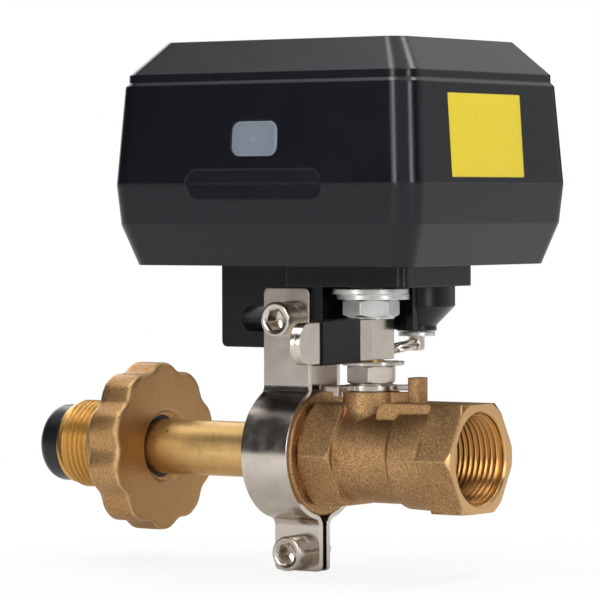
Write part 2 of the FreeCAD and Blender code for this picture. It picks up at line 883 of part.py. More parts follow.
def clutch_spring():
    # Open coil of square wire from the chamber floor to the pin's shoulder.
    bottom = boss_floor + spring_wire
    top = gear_bottom - clutch_gear_gap - clutch_shoulder_height - spring_wire
    rise = (top - bottom) / spring_turns
    across = V(1, 0, 0)
    heading = V(0, 2 * math.pi * spring_radius, rise).normalize()
    upward = across.cross(heading)
    middle = V(spring_radius, 0, 0)
    corners = ((-1, -1), (1, -1), (1, 1), (-1, 1))
    section = polygon([middle + (across * a + upward * b) * spring_wire for a, b in corners])
    coil = Part.Wire(Part.makeHelix(rise, top - bottom, spring_radius)).makePipeShell([section], True, True)
    coil.translate(V(stem_x, clutch_distance, bottom))
    return coil


def pull_ring():
    # Ring threaded through the pin's cross hole, hanging a little below level.
    ring = Part.makeTorus(ring_radius, ring_wire, V(ring_radius, 0, 0), up)
    ring.rotate(V(0, 0, 0), V(0, 1, 0), ring_tilt)
    return place_on_pin(ring)


# Button and electronics

def indicator_button():
    wall = front_wall_y(button_z)
    flange_front = wall + housing_wall + button_seat_gap
    face = rounded_front(button_x, button_z, button_length, button_height, button_corner,
                         wall - 2 * housing_wall, flange_front + button_flange / 2)
    low, high = parting_z, ledge_z
    behind = wall + 2 * housing_wall
    leaning = Part.Face(polygon([
        V(button_x - button_length, front_wall_y(low) - button_proud, low),
        V(button_x - button_length, front_wall_y(high) - button_proud, high),
        V(button_x - button_length, behind, high), V(button_x - button_length, behind, low),
    ])).extrude(V(2 * button_length, 0, 0))
    face = face.common(leaning)
    flange = rounded_front(button_x, button_z, button_length + 2 * button_flange_reach,
                           button_height + 2 * button_flange_reach, button_flange_corner,
                           flange_front, flange_front + button_flange)
    plunger = rounded_front(button_x, button_z, button_stem_side, button_stem_side, button_stem_corner,
                            flange_front, flange_front + button_stem_length)
    front_edges = [e for e in face.Edges if e.BoundBox.YMax < wall + housing_wall / 4]
    return face.makeFillet(button_edge, front_edges).fuse(flange).fuse(plunger)


def circuit_board():
    board = board_slot()
    front, back = board_front_y - over, board_front_y + board_thickness + over
    for x in (board_left_x + board_hole_inset, board_right_x - board_hole_inset):
        board = board.cut(bar_y(board_hole_radius, front, back, x, board_top - board_hole_drop))
    return board


def button_switch():
    back = board_front_y
    plunger_end = front_wall_y(button_z) + housing_wall + button_seat_gap + button_stem_length
    front = plunger_end + button_travel + small_gap
    half = button_switch_side / 2
    return block(button_x - half, button_x + half, front, back, button_z - half, button_z + half)


def board_parts():
    back = board_front_y + board_thickness
    boxes = []
    for (length, depth, height), (x, z) in ((relay_size, relay_place), (chip_size, chip_place),
                                            (socket_size, socket_place)):
        boxes.append(block(x, x + length, back, back + depth, z, z + height))
    x, z = capacitor_place
    capacitor = rod(capacitor_radius, z, z + capacitor_height, x, back + capacitor_radius)
    return Part.makeCompound(boxes + [capacitor])


def power_inlet():
    wall = inlet_seat_y()
    body = bar_y(inlet_radius, wall - inlet_length, wall, inlet_x, inlet_z)
    flange = bar_y(inlet_flange_radius, wall, wall + inlet_flange, inlet_x, inlet_z)
    nut_end = wall - housing_wall - inlet_nut_gap
    nut = hex_along_y(inlet_nut_flats, nut_end - inlet_nut_height, nut_end, inlet_x, inlet_z)
    body = body.fuse(flange).fuse(nut)
    floor = wall - inlet_length + inlet_floor
    body = body.cut(bar_y(inlet_bore, floor, wall + inlet_flange + over, inlet_x, inlet_z))
    return body.fuse(bar_y(inlet_pin, floor - edge_break, wall - inlet_pin_sink, inlet_x, inlet_z))


# Valve body and flow pieces

def flared_neck():
    # Upright neck whose foot widens in a hollow curve into the barrel.
    shares = [n / neck_flare_steps for n in range(neck_flare_steps + 1)]
    foot = [(neck_radius + neck_flare_reach * s * s,
             neck_flare_top - (neck_flare_top - neck_flare_bottom) * s) for s in shares]
    return turned_z([(0, neck_top), (neck_radius, neck_top)] + foot + [(0, neck_flare_bottom)], stem_x, 0)


def body_pad():
    # Flat pad that carries the port hexagon's top face on towards the neck, with a round left end.
    left, right, top = stem_x + pad_start, stem_x + pad_reach, port_hex_flats / 2
    middle = pad_round * (1.0 - math.sqrt(0.5))
    low, start = V(left, 0, 0), V(left, 0, top - pad_round)
    bend, flat = V(left + middle, 0, top - middle), V(left + pad_round, 0, top)
    edges = [Part.LineSegment(low, start).toShape(), Part.Arc(start, bend, flat).toShape(),
             Part.LineSegment(flat, V(right, 0, top)).toShape(),
             Part.LineSegment(V(right, 0, top), V(right, 0, 0)).toShape(),
             Part.LineSegment(V(right, 0, 0), low).toShape()]
    pad = Part.Face(Part.Wire(edges)).extrude(V(0, 2 * pad_half_width, 0))
    pad.translate(V(0, -pad_half_width, 0))
    return pad


def valve_body():
    hex_radius = port_hex_flats / math.sqrt(3.0)
    left_radius = left_hex_flats / math.sqrt(3.0)
    barrel = turned_x([
        (body_left_x, 0), (body_left_x, body_radius), (step_x - step_run, body_radius),
        (step_x, neck_end_radius), (-port_hex_length, port_hex_flats / 2),
        (-port_hex_length / 2, port_hex_flats / 2), (-port_hex_length / 2, 0),
    ])
    port = hex_along_x(port_hex_flats, -port_hex_length, 0)
    port_cap = turned_x([
        (-port_hex_length - port_cap_run, 0), (-port_hex_length - port_cap_run, hex_radius - port_cap_drop),
        (-port_hex_length, hex_radius), (-port_chamfer_length, hex_radius),
        (0, port_face_radius), (0, 0),
    ])
    left_hex = hex_along_x(left_hex_flats, body_left_x, left_hex_end_x)
    left_cap = turned_x([
        (body_left_x, 0), (body_left_x, left_radius - left_hex_chamfer),
        (body_left_x + left_hex_chamfer, left_radius), (left_hex_end_x - left_hex_back_chamfer, left_radius),
        (left_hex_end_x, left_radius - left_hex_back_chamfer), (left_hex_end_x, 0),
    ])
    lug_x = stem_x + stop_lug_inner
    half = stop_lug_half_width
    lug = slab(lug_x, lug_x + stop_lug_length, -half, half, 0, stop_lug_top, stop_lug_round)
    web = block(stem_x, lug_x + over, -stop_web_half_width, stop_web_half_width, 0, neck_top)
    body = barrel.fuse(port.common(port_cap)).fuse(left_hex.common(left_cap))
    body = body.fuse([flared_neck(), body_pad(), lug, web])
    relief_x = -port_thread_depth - thread_relief
    passage = turned_x([
        (relief_x, 0), (relief_x, bore_radius), (-port_thread_depth, port_thread_radius),
        (port_thread_radius - port_mouth_radius, port_thread_radius), (0, port_mouth_radius),
        (over, port_mouth_radius), (over, 0),
    ])
    chamber = bar_x(chamber_radius, body_left_x, stem_x + seat_end)
    thread = bar_x(spigot_radius, body_left_x, stem_x - seat_end)
    through = bar_x(bore_radius, body_left_x, -port_thread_depth)
    body = body.cut(passage).cut(chamber).cut(thread).cut(through)
    shoulder = stem_collar_top + running_gap
    body = body.cut(rod(stem_collar_radius + running_gap, bore_radius, shoulder, stem_x, 0))
    return body.cut(rod(packing_radius, shoulder, neck_top + over, stem_x, 0))


def ball_seat(side):
    near = stem_x + side * seat_reach
    far = near + side * seat_length
    start, end = sorted((near, far))
    ring = bar_x(seat_outer_radius, start, end)
    ring = ring.cut(bar_x(bore_radius + seat_bore_gap, start - over, end + over))
    return ring.cut(Part.makeSphere(ball_radius + seat_gap, stem))


def ball_seats():
    left = ball_seat(-1)
    right = ball_seat(1)
    return Part.makeCompound([left, right])


def end_adapter():
    collar = bar_x(strap_inner_radius, adapter_end_x, body_left_x)
    edge = [e for e in collar.Edges if e.BoundBox.XLength < close]
    collar = collar.makeChamfer(edge_break, edge)
    spigot = bar_x(spigot_radius, body_left_x, stem_x - seat_end)
    whole = collar.fuse(spigot).cut(bar_x(bore_radius, adapter_end_x - over, stem_x))
    return whole.cut(bar_x(tube_radius, adapter_end_x - over, adapter_end_x + tube_socket_depth))


def nipple_tube():
    socket_x = adapter_end_x + tube_socket_depth
    return turned_x([
        (socket_x, tube_bore), (socket_x, tube_radius), (seal_back_x, tube_radius),
        (seal_back_x, seal_core_radius), (tube_end_x + tube_nose_chamfer, seal_core_radius),
        (tube_end_x, seal_core_radius - tube_nose_chamfer), (tube_end_x, tube_bore),
    ])


def nose_seal():
    # Rubber nose with a quarter round at its tip.
    middle = seal_nose_round * (1.0 - math.sqrt(0.5))
    inner_lip = seal_core_radius - seal_lip
    corners = [
        V(seal_back_x, 0, seal_core_radius), V(seal_back_x, 0, seal_radius),
        V(seal_nose_x + seal_nose_round, 0, seal_radius),
        V(seal_nose_x, 0, seal_radius - seal_nose_round), V(seal_nose_x, 0, inner_lip),
        V(tube_end_x, 0, inner_lip), V(tube_end_x, 0, seal_core_radius),
    ]
    edges = [Part.LineSegment(a, b).toShape() for a, b in zip(corners[:2], corners[1:3])]
    edges.append(Part.Arc(corners[2], V(seal_nose_x + middle, 0, seal_radius - middle), corners[3]).toShape())
    for a, b in zip(corners[3:], corners[4:] + corners[:1]):
        edges.append(Part.LineSegment(a, b).toShape())
    return Part.Face(Part.Wire(edges)).revolve(V(0, 0, 0), V(1, 0, 0), 360)


def ball():
    sphere = Part.makeSphere(ball_radius, stem)
    reach = ball_radius + over
    bore = bar_y(bore_radius, -reach, reach, stem_x)
    slot_half = tang_width / 2 + running_gap
    slot = block(stem_x - slot_half, stem_x + slot_half, -reach, reach, tang_bottom - running_gap, reach)
    return rest_turn(sphere.cut(bore).cut(slot))


def rest_turn(shape):
    # Turns a piece from the closed place to the place it rests at.
    shape.rotate(stem, up, lever_rest_angle)
    return shape


def valve_stem():
    tang = block(stem_x - tang_width / 2, stem_x + tang_width / 2, -tang_length / 2, tang_length / 2,
                 tang_bottom, stem_collar_bottom)
    tang = tang.common(rod(stem_collar_radius, tang_bottom, stem_collar_bottom, stem_x, 0))
    collar = rod(stem_collar_radius, stem_collar_bottom, stem_collar_top, stem_x, 0)
    shank = rod(stem_radius, stem_collar_top, stem_top, stem_x, 0)
    shank = shank.makeChamfer(edge_break, [e for e in shank.Edges if e.BoundBox.ZMin > stem_top - close])
    flat_low = lever_bottom()
    flat_top = flat_low + lever_height
    for side in (-1, 1):
        inner_face = stem_x + side * stem_flats / 2
        x0, x1 = sorted((inner_face, stem_x + side * stem_collar_radius))
        shank = shank.cut(block(x0, x1, -stem_collar_radius, stem_collar_radius, flat_low, flat_top))
    return rest_turn(tang.fuse(collar).fuse(shank))


def stem_packing():
    ring = rod(packing_radius, stem_collar_top + 2 * running_gap, neck_top - packing_drop, stem_x, 0)
    return ring.cut(rod(stem_radius + running_gap, stem_collar_bottom, neck_top, stem_x, 0))


# Stack on the stem

def nut_bottom():
    return stop_plate_bottom + stop_plate_thickness


def thin_washer_bottom():
    return nut_bottom() + nut_face_height + lower_nut_height


def lever_bottom():
    return thin_washer_bottom() + thin_washer_thickness + lever_gap_below


def upper_nut_bottom():
    return lever_bottom() + lever_height + lever_gap_above


def washers_bottom():
    return upper_nut_bottom() + nut_face_height + upper_nut_height


def sector(radius, low_turn, high_turn, bottom, thickness):
    # Pie slice about the stem axis between two bearings in degrees.
    a, b = math.radians(low_turn), math.radians(high_turn)
    m = (a + b) / 2
    points = [V(stem_x + radius * math.cos(t), radius * math.sin(t), bottom) for t in (a, m, b)]
    centre = V(stem_x, 0, bottom)
    edges = [Part.LineSegment(centre, points[0]).toShape(), Part.Arc(*points).toShape(),
             Part.LineSegment(points[2], centre).toShape()]
    return Part.Face(Part.Wire(edges)).extrude(V(0, 0, thickness))


def stop_plate():
    # Disc with two wings that meet the body's lug at the two ends of the turn.
    lug_half = math.degrees(math.atan2(stop_lug_half_width, stop_lug_inner))
    closed_edge = lug_half + stop_gap_angle + lever_rest_angle
    open_edge = -lug_half - stop_gap_angle - (stem_quarter_turn - lever_rest_angle)
    bottom, thickness, drop = stop_plate_bottom, stop_plate_thickness, stop_ear_drop
    disc = rod(stop_plate_radius, bottom, bottom + thickness, stem_x, 0)
    right = sector(stop_wing_radius, closed_edge, closed_edge + stop_right_wing_angle, bottom, thickness)
    left = sector(stop_wing_radius, open_edge - stop_left_wing_angle, open_edge, bottom, thickness)
    ear = sector(stop_wing_radius, open_edge - stop_ear_angle, open_edge, bottom - drop, drop)
    ear = ear.cut(rod(stop_wing_radius - stop_ear_width, neck_top - stop_ear_drop, lever_bottom(), stem_x, 0))
    plate = disc.fuse([right, left, ear])
    return plate.cut(rod(stem_radius, neck_top - stop_ear_drop, lever_bottom(), stem_x, 0))


def hex_nut(flats, bottom, height, bearing):
    # Hexagon nut on the stem with both faces chamfered and a round seat below it.
    corner = flats / math.sqrt(3.0)
    base = bottom + nut_face_height
    chamfer = (corner - flats / 2) * nut_chamfer_share
    prism = hex_upright(flats, base, base + height, stem_x, 0, bearing)
    keep = turned_z([
        (0, base), (flats / 2, base), (corner, base + chamfer), (corner, base + height - chamfer),
        (flats / 2, base + height), (0, base + height),
    ], stem_x, 0)
    nut = prism.common(keep).fuse(rod(flats / 2 * nut_seat_share, bottom, base, stem_x, 0))
    return nut.cut(rod(stem_radius, bottom - over, base + height + over, stem_x, 0))


def stem_nut():
    return hex_nut(lower_nut_flats, nut_bottom(), lower_nut_height, lower_nut_bearing)


def upper_nut():
    return hex_nut(upper_nut_flats, upper_nut_bottom(), upper_nut_height, upper_nut_bearing)


def thin_washer():
    # Washer with a wide bore that sits off to one side of the stem.
    bottom = thin_washer_bottom()
    x, y = stem_x + thin_washer_shift[0], thin_washer_shift[1]
    washer = rod(thin_washer_radius, bottom, bottom + thin_washer_thickness, x, y)
    return washer.cut(rod(thin_washer_bore, bottom - over, bottom + 2 * over, x, y))


def large_washers():
    low = washers_bottom()
    mid = low + large_washer_thickness
    lower = rod(lower_washer_radius, low, mid, stem_x + large_washer_offset, large_washer_offset)
    upper = rod(large_washer_radius, mid, mid + large_washer_thickness, stem_x - large_washer_offset / 2, 0)
    bore = rod(stem_radius, low - over, plate_bottom, stem_x, 0)
    return Part.makeCompound([lower.cut(bore), upper.cut(bore)])


def lever():
    # Hairpin of flat strip: two plies together in the arm, spread round the stem.
    t = lever_strip
    w, a = lever_hub_half_width, lever_arm_half_width
    bottom, top = lever_bottom(), lever_bottom() + lever_height
    outer = [(a, -lever_tip), (a, -lever_slant_end), (w, -lever_hub_front), (w, lever_hub_rear),
             (-w, lever_hub_rear), (-w, -lever_hub_front), (-a, -lever_slant_end), (-a, -lever_tip)]
    inner_w, inner_a = w - t, a - t
    slant_end, hub_front = lever_slant_end + lever_slant_shift, lever_hub_front + lever_slant_shift
    hollow = [(inner_a, -lever_tip - over), (inner_a, -slant_end), (inner_w, -hub_front),
              (inner_w, lever_hub_rear - t), (-inner_w, lever_hub_rear - t), (-inner_w, -hub_front),
              (-inner_a, -slant_end), (-inner_a, -lever_tip - over)]
    strip = Part.Face(polygon([V(stem_x + x, y, bottom) for x, y in outer])).extrude(V(0, 0, top - bottom))
    rear = [e for e in strip.Edges
            if e.BoundBox.YMin > lever_hub_rear - close and e.BoundBox.ZLength > lever_height - close]
    strip = strip.makeFillet(lever_bend_radius, rear)
    space = Part.Face(polygon([V(stem_x + x, y, bottom) for x, y in hollow])).extrude(V(0, 0, top - bottom))
    strip = strip.cut(space)
    half = lever_height / 2
    side = slab(-lever_tip, lever_hub_rear + over, -half, half, -w - over, w + over, half - close)
    side.rotate(V(0, 0, 0), V(1, 0, 0), 90)
    side.rotate(V(0, 0, 0), up, 90)
    side.translate(V(stem_x, 0, bottom + half))
    square = block(stem_x - w - over, stem_x + w + over, -lever_slant_end, lever_hub_rear + over, bottom, top)
    strip = strip.common(side.fuse(square))
    return rest_turn(strip)


def grip_sleeve():
    bottom, top = lever_bottom(), lever_bottom() + lever_height
    a, g = lever_arm_half_width, grip_wall
    sleeve = rounded_front(stem_x, (bottom + top) / 2, 2 * (a + g), top - bottom + 2 * g, g,
                           -grip_end, -grip_start)
    arm = block(stem_x - a, stem_x + a, -grip_end - over, -grip_start + over, bottom, top)
    return rest_turn(sleeve.cut(arm))


# Handwheel nut

def handwheel_nut():
    back = wheel_back_x
    outline = [(back, 0), (back, wheel_radius - wheel_edge), (back + wheel_edge, wheel_radius),
               (wheel_front_x - wheel_edge, wheel_radius), (wheel_front_x, wheel_radius - wheel_edge),
               (wheel_front_x, 0)]
    rim = bar_x(wheel_radius, back, wheel_front_x)
    for k in range(wheel_lobes):
        turn = math.radians(wheel_first_lobe + 360.0 * (k + 0.5) / wheel_lobes)
        reach = wheel_radius + wheel_scallop_radius - wheel_scallop_depth
        rim = rim.cut(bar_x(wheel_scallop_radius, back - over, wheel_front_x + over,
                            reach * math.cos(turn), reach * math.sin(turn)))
    corners = [e for e in rim.Edges if e.BoundBox.XLength > wheel_thickness - close
               and e.BoundBox.YLength < close and e.BoundBox.ZLength < close]
    rim = rim.makeFillet(wheel_lobe_round, corners)
    rim = rim.common(turned_x(outline))
    lead_radius = wheel_thread_radius - wheel_lead_drop
    hub = turned_x([
        (back, 0), (back, wheel_hub_radius + wheel_hub_fillet), (back - wheel_hub_fillet, wheel_hub_radius),
        (wheel_hub_end_x, wheel_hub_radius), (wheel_hub_end_x, wheel_thread_radius),
        (wheel_thread_end_x + wheel_lead_length, wheel_thread_radius),
        (wheel_thread_end_x + wheel_lead_length, lead_radius),
        (wheel_thread_end_x + wheel_lead_chamfer, lead_radius),
        (wheel_thread_end_x, lead_radius - wheel_lead_chamfer), (wheel_thread_end_x, 0),
    ])
    sink = turned_x([
        (wheel_front_x + over, 0), (wheel_front_x + over, wheel_countersink_radius),
        (wheel_front_x, wheel_countersink_radius), (wheel_front_x - wheel_countersink_depth, wheel_bore),
        (wheel_front_x - wheel_countersink_depth, 0),
    ])
    whole = rim.fuse(hub).cut(bar_x(wheel_bore, wheel_thread_end_x - over, wheel_front_x + over))
    return whole.cut(sink)


def nut_guide_bush():
    end = wheel_front_x - bush_inset
    bush = bar_x(wheel_bore - running_gap, end - bush_length, end)
    return bush.cut(bar_x(tube_radius + running_gap, end - bush_length - over, end + over))


# Pipe clamp

def strap_arc(centre, radius, start, end):
    # Arc in the YZ plane about a centre, through three bearings in radians.
    middle = (start + end) / 2
    y, z = centre
    points = [V(0, y + radius * math.cos(t), z + radius * math.sin(t)) for t in (start, middle, end)]
    return Part.Arc(*points).toShape(), points[0], points[2]


def strap_outline(radius, line, bend, top, bottom):
    # One face of a front strap half: line, bend, ring, bend, line from top to bottom.
    reach_upper = line[0] + bend
    reach_lower = line[1] + bend
    far = radius + bend
    upper = (-reach_upper, math.sqrt(far ** 2 - reach_upper ** 2))
    lower = (-reach_lower, -math.sqrt(far ** 2 - reach_lower ** 2))
    turn_upper = math.atan2(upper[1], upper[0])
    turn_lower = math.atan2(lower[1], lower[0]) + 2 * math.pi
    first = strap_arc(upper, bend, 0.0, turn_upper - math.pi)
    ring = strap_arc((0, 0), radius, turn_upper, turn_lower)
    last = strap_arc(lower, bend, turn_lower - math.pi, 0.0)
    head = V(0, -line[0], top)
    foot = V(0, -line[1], bottom)
    edges = [Part.LineSegment(head, first[1]).toShape(), first[0], ring[0], last[0],
             Part.LineSegment(last[2], foot).toShape()]
    return edges, head, foot


def strap_half(upper_inner, lower_inner):
    t = strap_thickness
    outer_line = (upper_inner + t, lower_inner + t)
    outer, head_out, foot_out = strap_outline(strap_inner_radius + t, outer_line, strap_bend,
                                              upper_tab_top, lower_tab_bottom)
    inner_edges, head_in, foot_in = strap_outline(strap_inner_radius, (upper_inner, lower_inner),
                                                  strap_bend + t, upper_tab_top, lower_tab_bottom)
    ends = [Part.LineSegment(head_out, head_in).toShape(), Part.LineSegment(foot_out, foot_in).toShape()]
    wire = Part.Wire(Part.__sortEdges__(outer + inner_edges + ends))
    half = Part.Face(wire).extrude(V(strap_width, 0, 0))
    half.translate(V(strap_centre_x - strap_width / 2, 0, 0))
    corners = [e for e in half.Edges if e.BoundBox.XLength < close and e.BoundBox.ZLength < close
               and (e.BoundBox.ZMin > upper_tab_top - close or e.BoundBox.ZMax < lower_tab_bottom + close)]
    half = half.makeFillet(tab_corner, corners)
    half = half.cut(bar_y(screw_hole_radius, -strap_inner_radius, 0, strap_centre_x, upper_screw_z))
    return half.cut(bar_y(screw_hole_radius, -strap_inner_radius, 0, strap_centre_x, lower_screw_z))


def clamp_front():
    return strap_half(upper_tab_inner, lower_tab_inner)


def clamp_rear():
    return strap_half(upper_tab_inner, lower_tab_inner).mirror(V(0, 0, 0), V(0, 1, 0))


def clamp_screw(inner_half, z):
    # Socket head screw from the front tab through to the nut behind.
    under_head = -(inner_half + strap_thickness)
    end = inner_half + strap_thickness + clamp_nut_height + screw_tail
    head = bar_y(screw_head_radius, under_head - screw_head_height, under_head, strap_centre_x, z)
    edge = [e for e in head.Edges if e.BoundBox.YMax < under_head - screw_head_height + close]
    head = head.makeFillet(screw_head_edge, edge)
    socket = hex_along_y(screw_socket_flats, under_head - screw_head_height - over,
                         under_head - screw_head_height + screw_socket_depth, strap_centre_x, z, socket_turn)
    return head.fuse(bar_y(screw_radius, under_head, end, strap_centre_x, z)).cut(socket)


def clamp_nut(inner_half, z):
    start = inner_half + strap_thickness
    corner = clamp_nut_flats / math.sqrt(3.0)
    chamfer = (corner - clamp_nut_flats / 2) * nut_chamfer_share
    nut = hex_along_y(clamp_nut_flats, start, start + clamp_nut_height, strap_centre_x, z, socket_turn)
    face = Part.Face(polygon([V(0, start, 0), V(corner, start, 0),
                              V(corner, start + clamp_nut_height - chamfer, 0),
                              V(clamp_nut_flats / 2, start + clamp_nut_height, 0),
                              V(0, start + clamp_nut_height, 0)]))
    keep = face.revolve(V(0, 0, 0), V(0, 1, 0), 360)
    keep.translate(V(strap_centre_x, 0, z))
    bore = bar_y(screw_radius, start - over, start + clamp_nut_height + over, strap_centre_x, z)
    return nut.common(keep).cut(bore)


def clamp_nuts():
    places = ((upper_tab_inner, upper_screw_z), (lower_tab_inner, lower_screw_z))
    return Part.makeCompound([clamp_nut(inner_half, z) for inner_half, z in places])


pieces = {
    "lower_housing": lower_housing, "upper_housing": upper_housing, "housing_seal": housing_seal,
    "housing_screws": housing_screws, "plate_screws": plate_screws,
    "base_plate": base_plate, "clutch_boss": clutch_boss,
    "output_bush": output_bush, "gearbox_plate": gearbox_plate, "gearbox_screws": gearbox_screws,
    "motor": motor, "motor_pinion": motor_pinion, "output_gear": output_gear, "output_shaft": output_shaft,
    "clutch_gear": clutch_gear, "clutch_pin": clutch_pin, "clutch_washer": clutch_washer,
    "clutch_clip": clutch_clip, "clutch_spring": clutch_spring, "pull_ring": pull_ring,
    "indicator_button": indicator_button, "button_switch": button_switch, "circuit_board": circuit_board,
    "board_parts": board_parts, "power_inlet": power_inlet,
    "valve_body": valve_body, "end_adapter": end_adapter, "ball_seats": ball_seats,
    "ball": ball, "valve_stem": valve_stem, "stem_packing": stem_packing, "stop_plate": stop_plate,
    "stem_nut": stem_nut, "thin_washer": thin_washer, "lever": lever, "grip_sleeve": grip_sleeve,
    "upper_nut": upper_nut, "large_washers": large_washers,
    "nipple_tube": nipple_tube, "nose_seal": nose_seal, "handwheel_nut": handwheel_nut,
    "nut_guide_bush": nut_guide_bush,
    "clamp_front": clamp_front, "clamp_rear": clamp_rear, "clamp_nuts": clamp_nuts,
}

for name, make in pieces.items():
    save(make(), name)
save(clamp_screw(upper_tab_inner, upper_screw_z), "clamp_screw_upper")
save(clamp_screw(lower_tab_inner, lower_screw_z), "clamp_screw_lower")
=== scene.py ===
import bpy
import json
import math
import numpy as np
from mathutils import Matrix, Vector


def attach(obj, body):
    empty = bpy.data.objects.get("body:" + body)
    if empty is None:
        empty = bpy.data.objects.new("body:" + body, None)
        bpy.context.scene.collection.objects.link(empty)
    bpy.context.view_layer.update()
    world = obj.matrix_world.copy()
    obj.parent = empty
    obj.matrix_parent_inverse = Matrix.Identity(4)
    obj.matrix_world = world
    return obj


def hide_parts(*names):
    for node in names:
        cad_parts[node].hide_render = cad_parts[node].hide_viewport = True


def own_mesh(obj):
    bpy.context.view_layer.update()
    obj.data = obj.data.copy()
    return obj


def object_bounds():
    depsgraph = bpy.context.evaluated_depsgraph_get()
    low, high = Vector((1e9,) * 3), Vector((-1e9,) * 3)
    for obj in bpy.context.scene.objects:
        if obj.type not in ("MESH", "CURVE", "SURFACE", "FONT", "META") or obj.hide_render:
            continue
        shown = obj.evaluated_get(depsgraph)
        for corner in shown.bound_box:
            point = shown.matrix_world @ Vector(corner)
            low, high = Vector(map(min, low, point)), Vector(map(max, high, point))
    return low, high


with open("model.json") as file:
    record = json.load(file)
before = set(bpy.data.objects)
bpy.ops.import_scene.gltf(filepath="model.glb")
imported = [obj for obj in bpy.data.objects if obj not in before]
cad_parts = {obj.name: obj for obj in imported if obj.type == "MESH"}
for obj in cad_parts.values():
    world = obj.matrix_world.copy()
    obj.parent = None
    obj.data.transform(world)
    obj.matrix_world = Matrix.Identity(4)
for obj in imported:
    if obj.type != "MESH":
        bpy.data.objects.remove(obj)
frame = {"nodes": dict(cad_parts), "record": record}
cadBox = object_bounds()
print("frame loaded:", len(frame["nodes"]), "nodes")

# Shapes are given in millimetres and degrees; camera, studio and finishes in metres and degrees

mm = 0.001
stemX = -31.4
fullTurn = 2 * np.pi

# Node trees


class Tree:
    # Short calls for adding and joining nodes in one tree.
    def __init__(self, tree):
        self.nodes = tree.nodes
        self.links = tree.links

    def add(self, kind, *ordered, settings=None, **named):
        # Ordered values go to the node's inputs by number, named ones by label.
        node = self.nodes.new("ShaderNode" + kind)
        for key, value in (settings or {}).items():
            setattr(node, key, value)
        for key, value in [*enumerate(ordered), *named.items()]:
            self.join(value, node.inputs[key])
        return node

    def join(self, value, socket):
        if isinstance(value, bpy.types.NodeSocket):
            self.links.new(value, socket)
        else:
            socket.default_value = value

    def math(self, operation, *terms):
        return self.add("Math", *terms, settings={"operation": operation}).outputs[0]

    def times(self, a, b):
        return self.math("MULTIPLY", a, b)

    def diagonal(self, a, b):
        # Root of the sum of two squares.
        return self.math("SQRT", self.math("ADD", self.times(a, a), self.times(b, b)))

    def ramp(self, value, low, high, outLow=0.0, outHigh=1.0):
        # Straight line from outLow to outHigh between two values, held outside them.
        node = self.add("MapRange", Value=value)
        for key, number in (("From Min", low), ("From Max", high), ("To Min", outLow), ("To Max", outHigh)):
            self.join(number, node.inputs[key])
        return node.outputs[0]

    def between(self, mask, low, high):
        # The number low where the mask is 0 and high where it is 1.
        return self.ramp(mask, 0.0, 1.0, low, high)

    def mix(self, mask, a, b):
        # The colour a where the mask is 0 and b where it is 1; these sockets of the node are its colour ones.
        node = self.add("Mix", settings={"data_type": "RGBA"})
        for value, number in ((mask, 0), (a, 6), (b, 7)):
            self.join(value, node.inputs[number])
        return node.outputs[2]

    def over(self, color, mask, share, top):
        # Lays a colour over another where the mask is, with a share of its full strength.
        return self.mix(self.times(mask, share), color, top)

    def noise(self, vector, scale, detail=2.0, rough=0.5):
        return self.add("TexNoise", Vector=vector, Scale=scale, Detail=detail, Roughness=rough).outputs[0]

    def scaled(self, vector, factors):
        return self.add("VectorMath", vector, factors, settings={"operation": "MULTIPLY"}).outputs[0]


# Camera

cameraFit = {
    "lens": 233.88,                              # millimetres, as is the sensor
    "sensor": 36.0,
    "place": (0.492136, -0.783399, 0.060909),
    "azimuth": 34.8,                             # round from the front
    "down": 1.425,
    "roll": -0.164,
    "reach": 50.0,
}


def makeCamera(fit):
    # It looks level along the azimuth, dips by the angle down, and rolls about its line of sight.
    azimuth, down, roll = (math.radians(fit[angle]) for angle in ("azimuth", "down", "roll"))
    level = np.array([math.cos(azimuth), math.sin(azimuth), 0.0])
    ahead = np.array([-math.sin(azimuth), math.cos(azimuth), 0.0]) * math.cos(down)
    ahead[2] = -math.sin(down)
    above = np.cross(level, ahead)
    right = level * math.cos(roll) + above * math.sin(roll)
    up = above * math.cos(roll) - level * math.sin(roll)
    data = bpy.data.cameras.new("photoCamera")
    data.lens = fit["lens"]
    data.sensor_width = fit["sensor"]
    data.clip_end = fit["reach"]
    camera = bpy.data.objects.new("photoCamera", data)
    turn = Matrix((right, up, -ahead)).transposed().to_4x4()
    camera.matrix_world = Matrix.Translation(fit["place"]) @ turn
    bpy.context.scene.collection.objects.link(camera)
    bpy.context.scene.camera = camera


makeCamera(cameraFit)

# Studio: pale floor, dim room and soft boxes

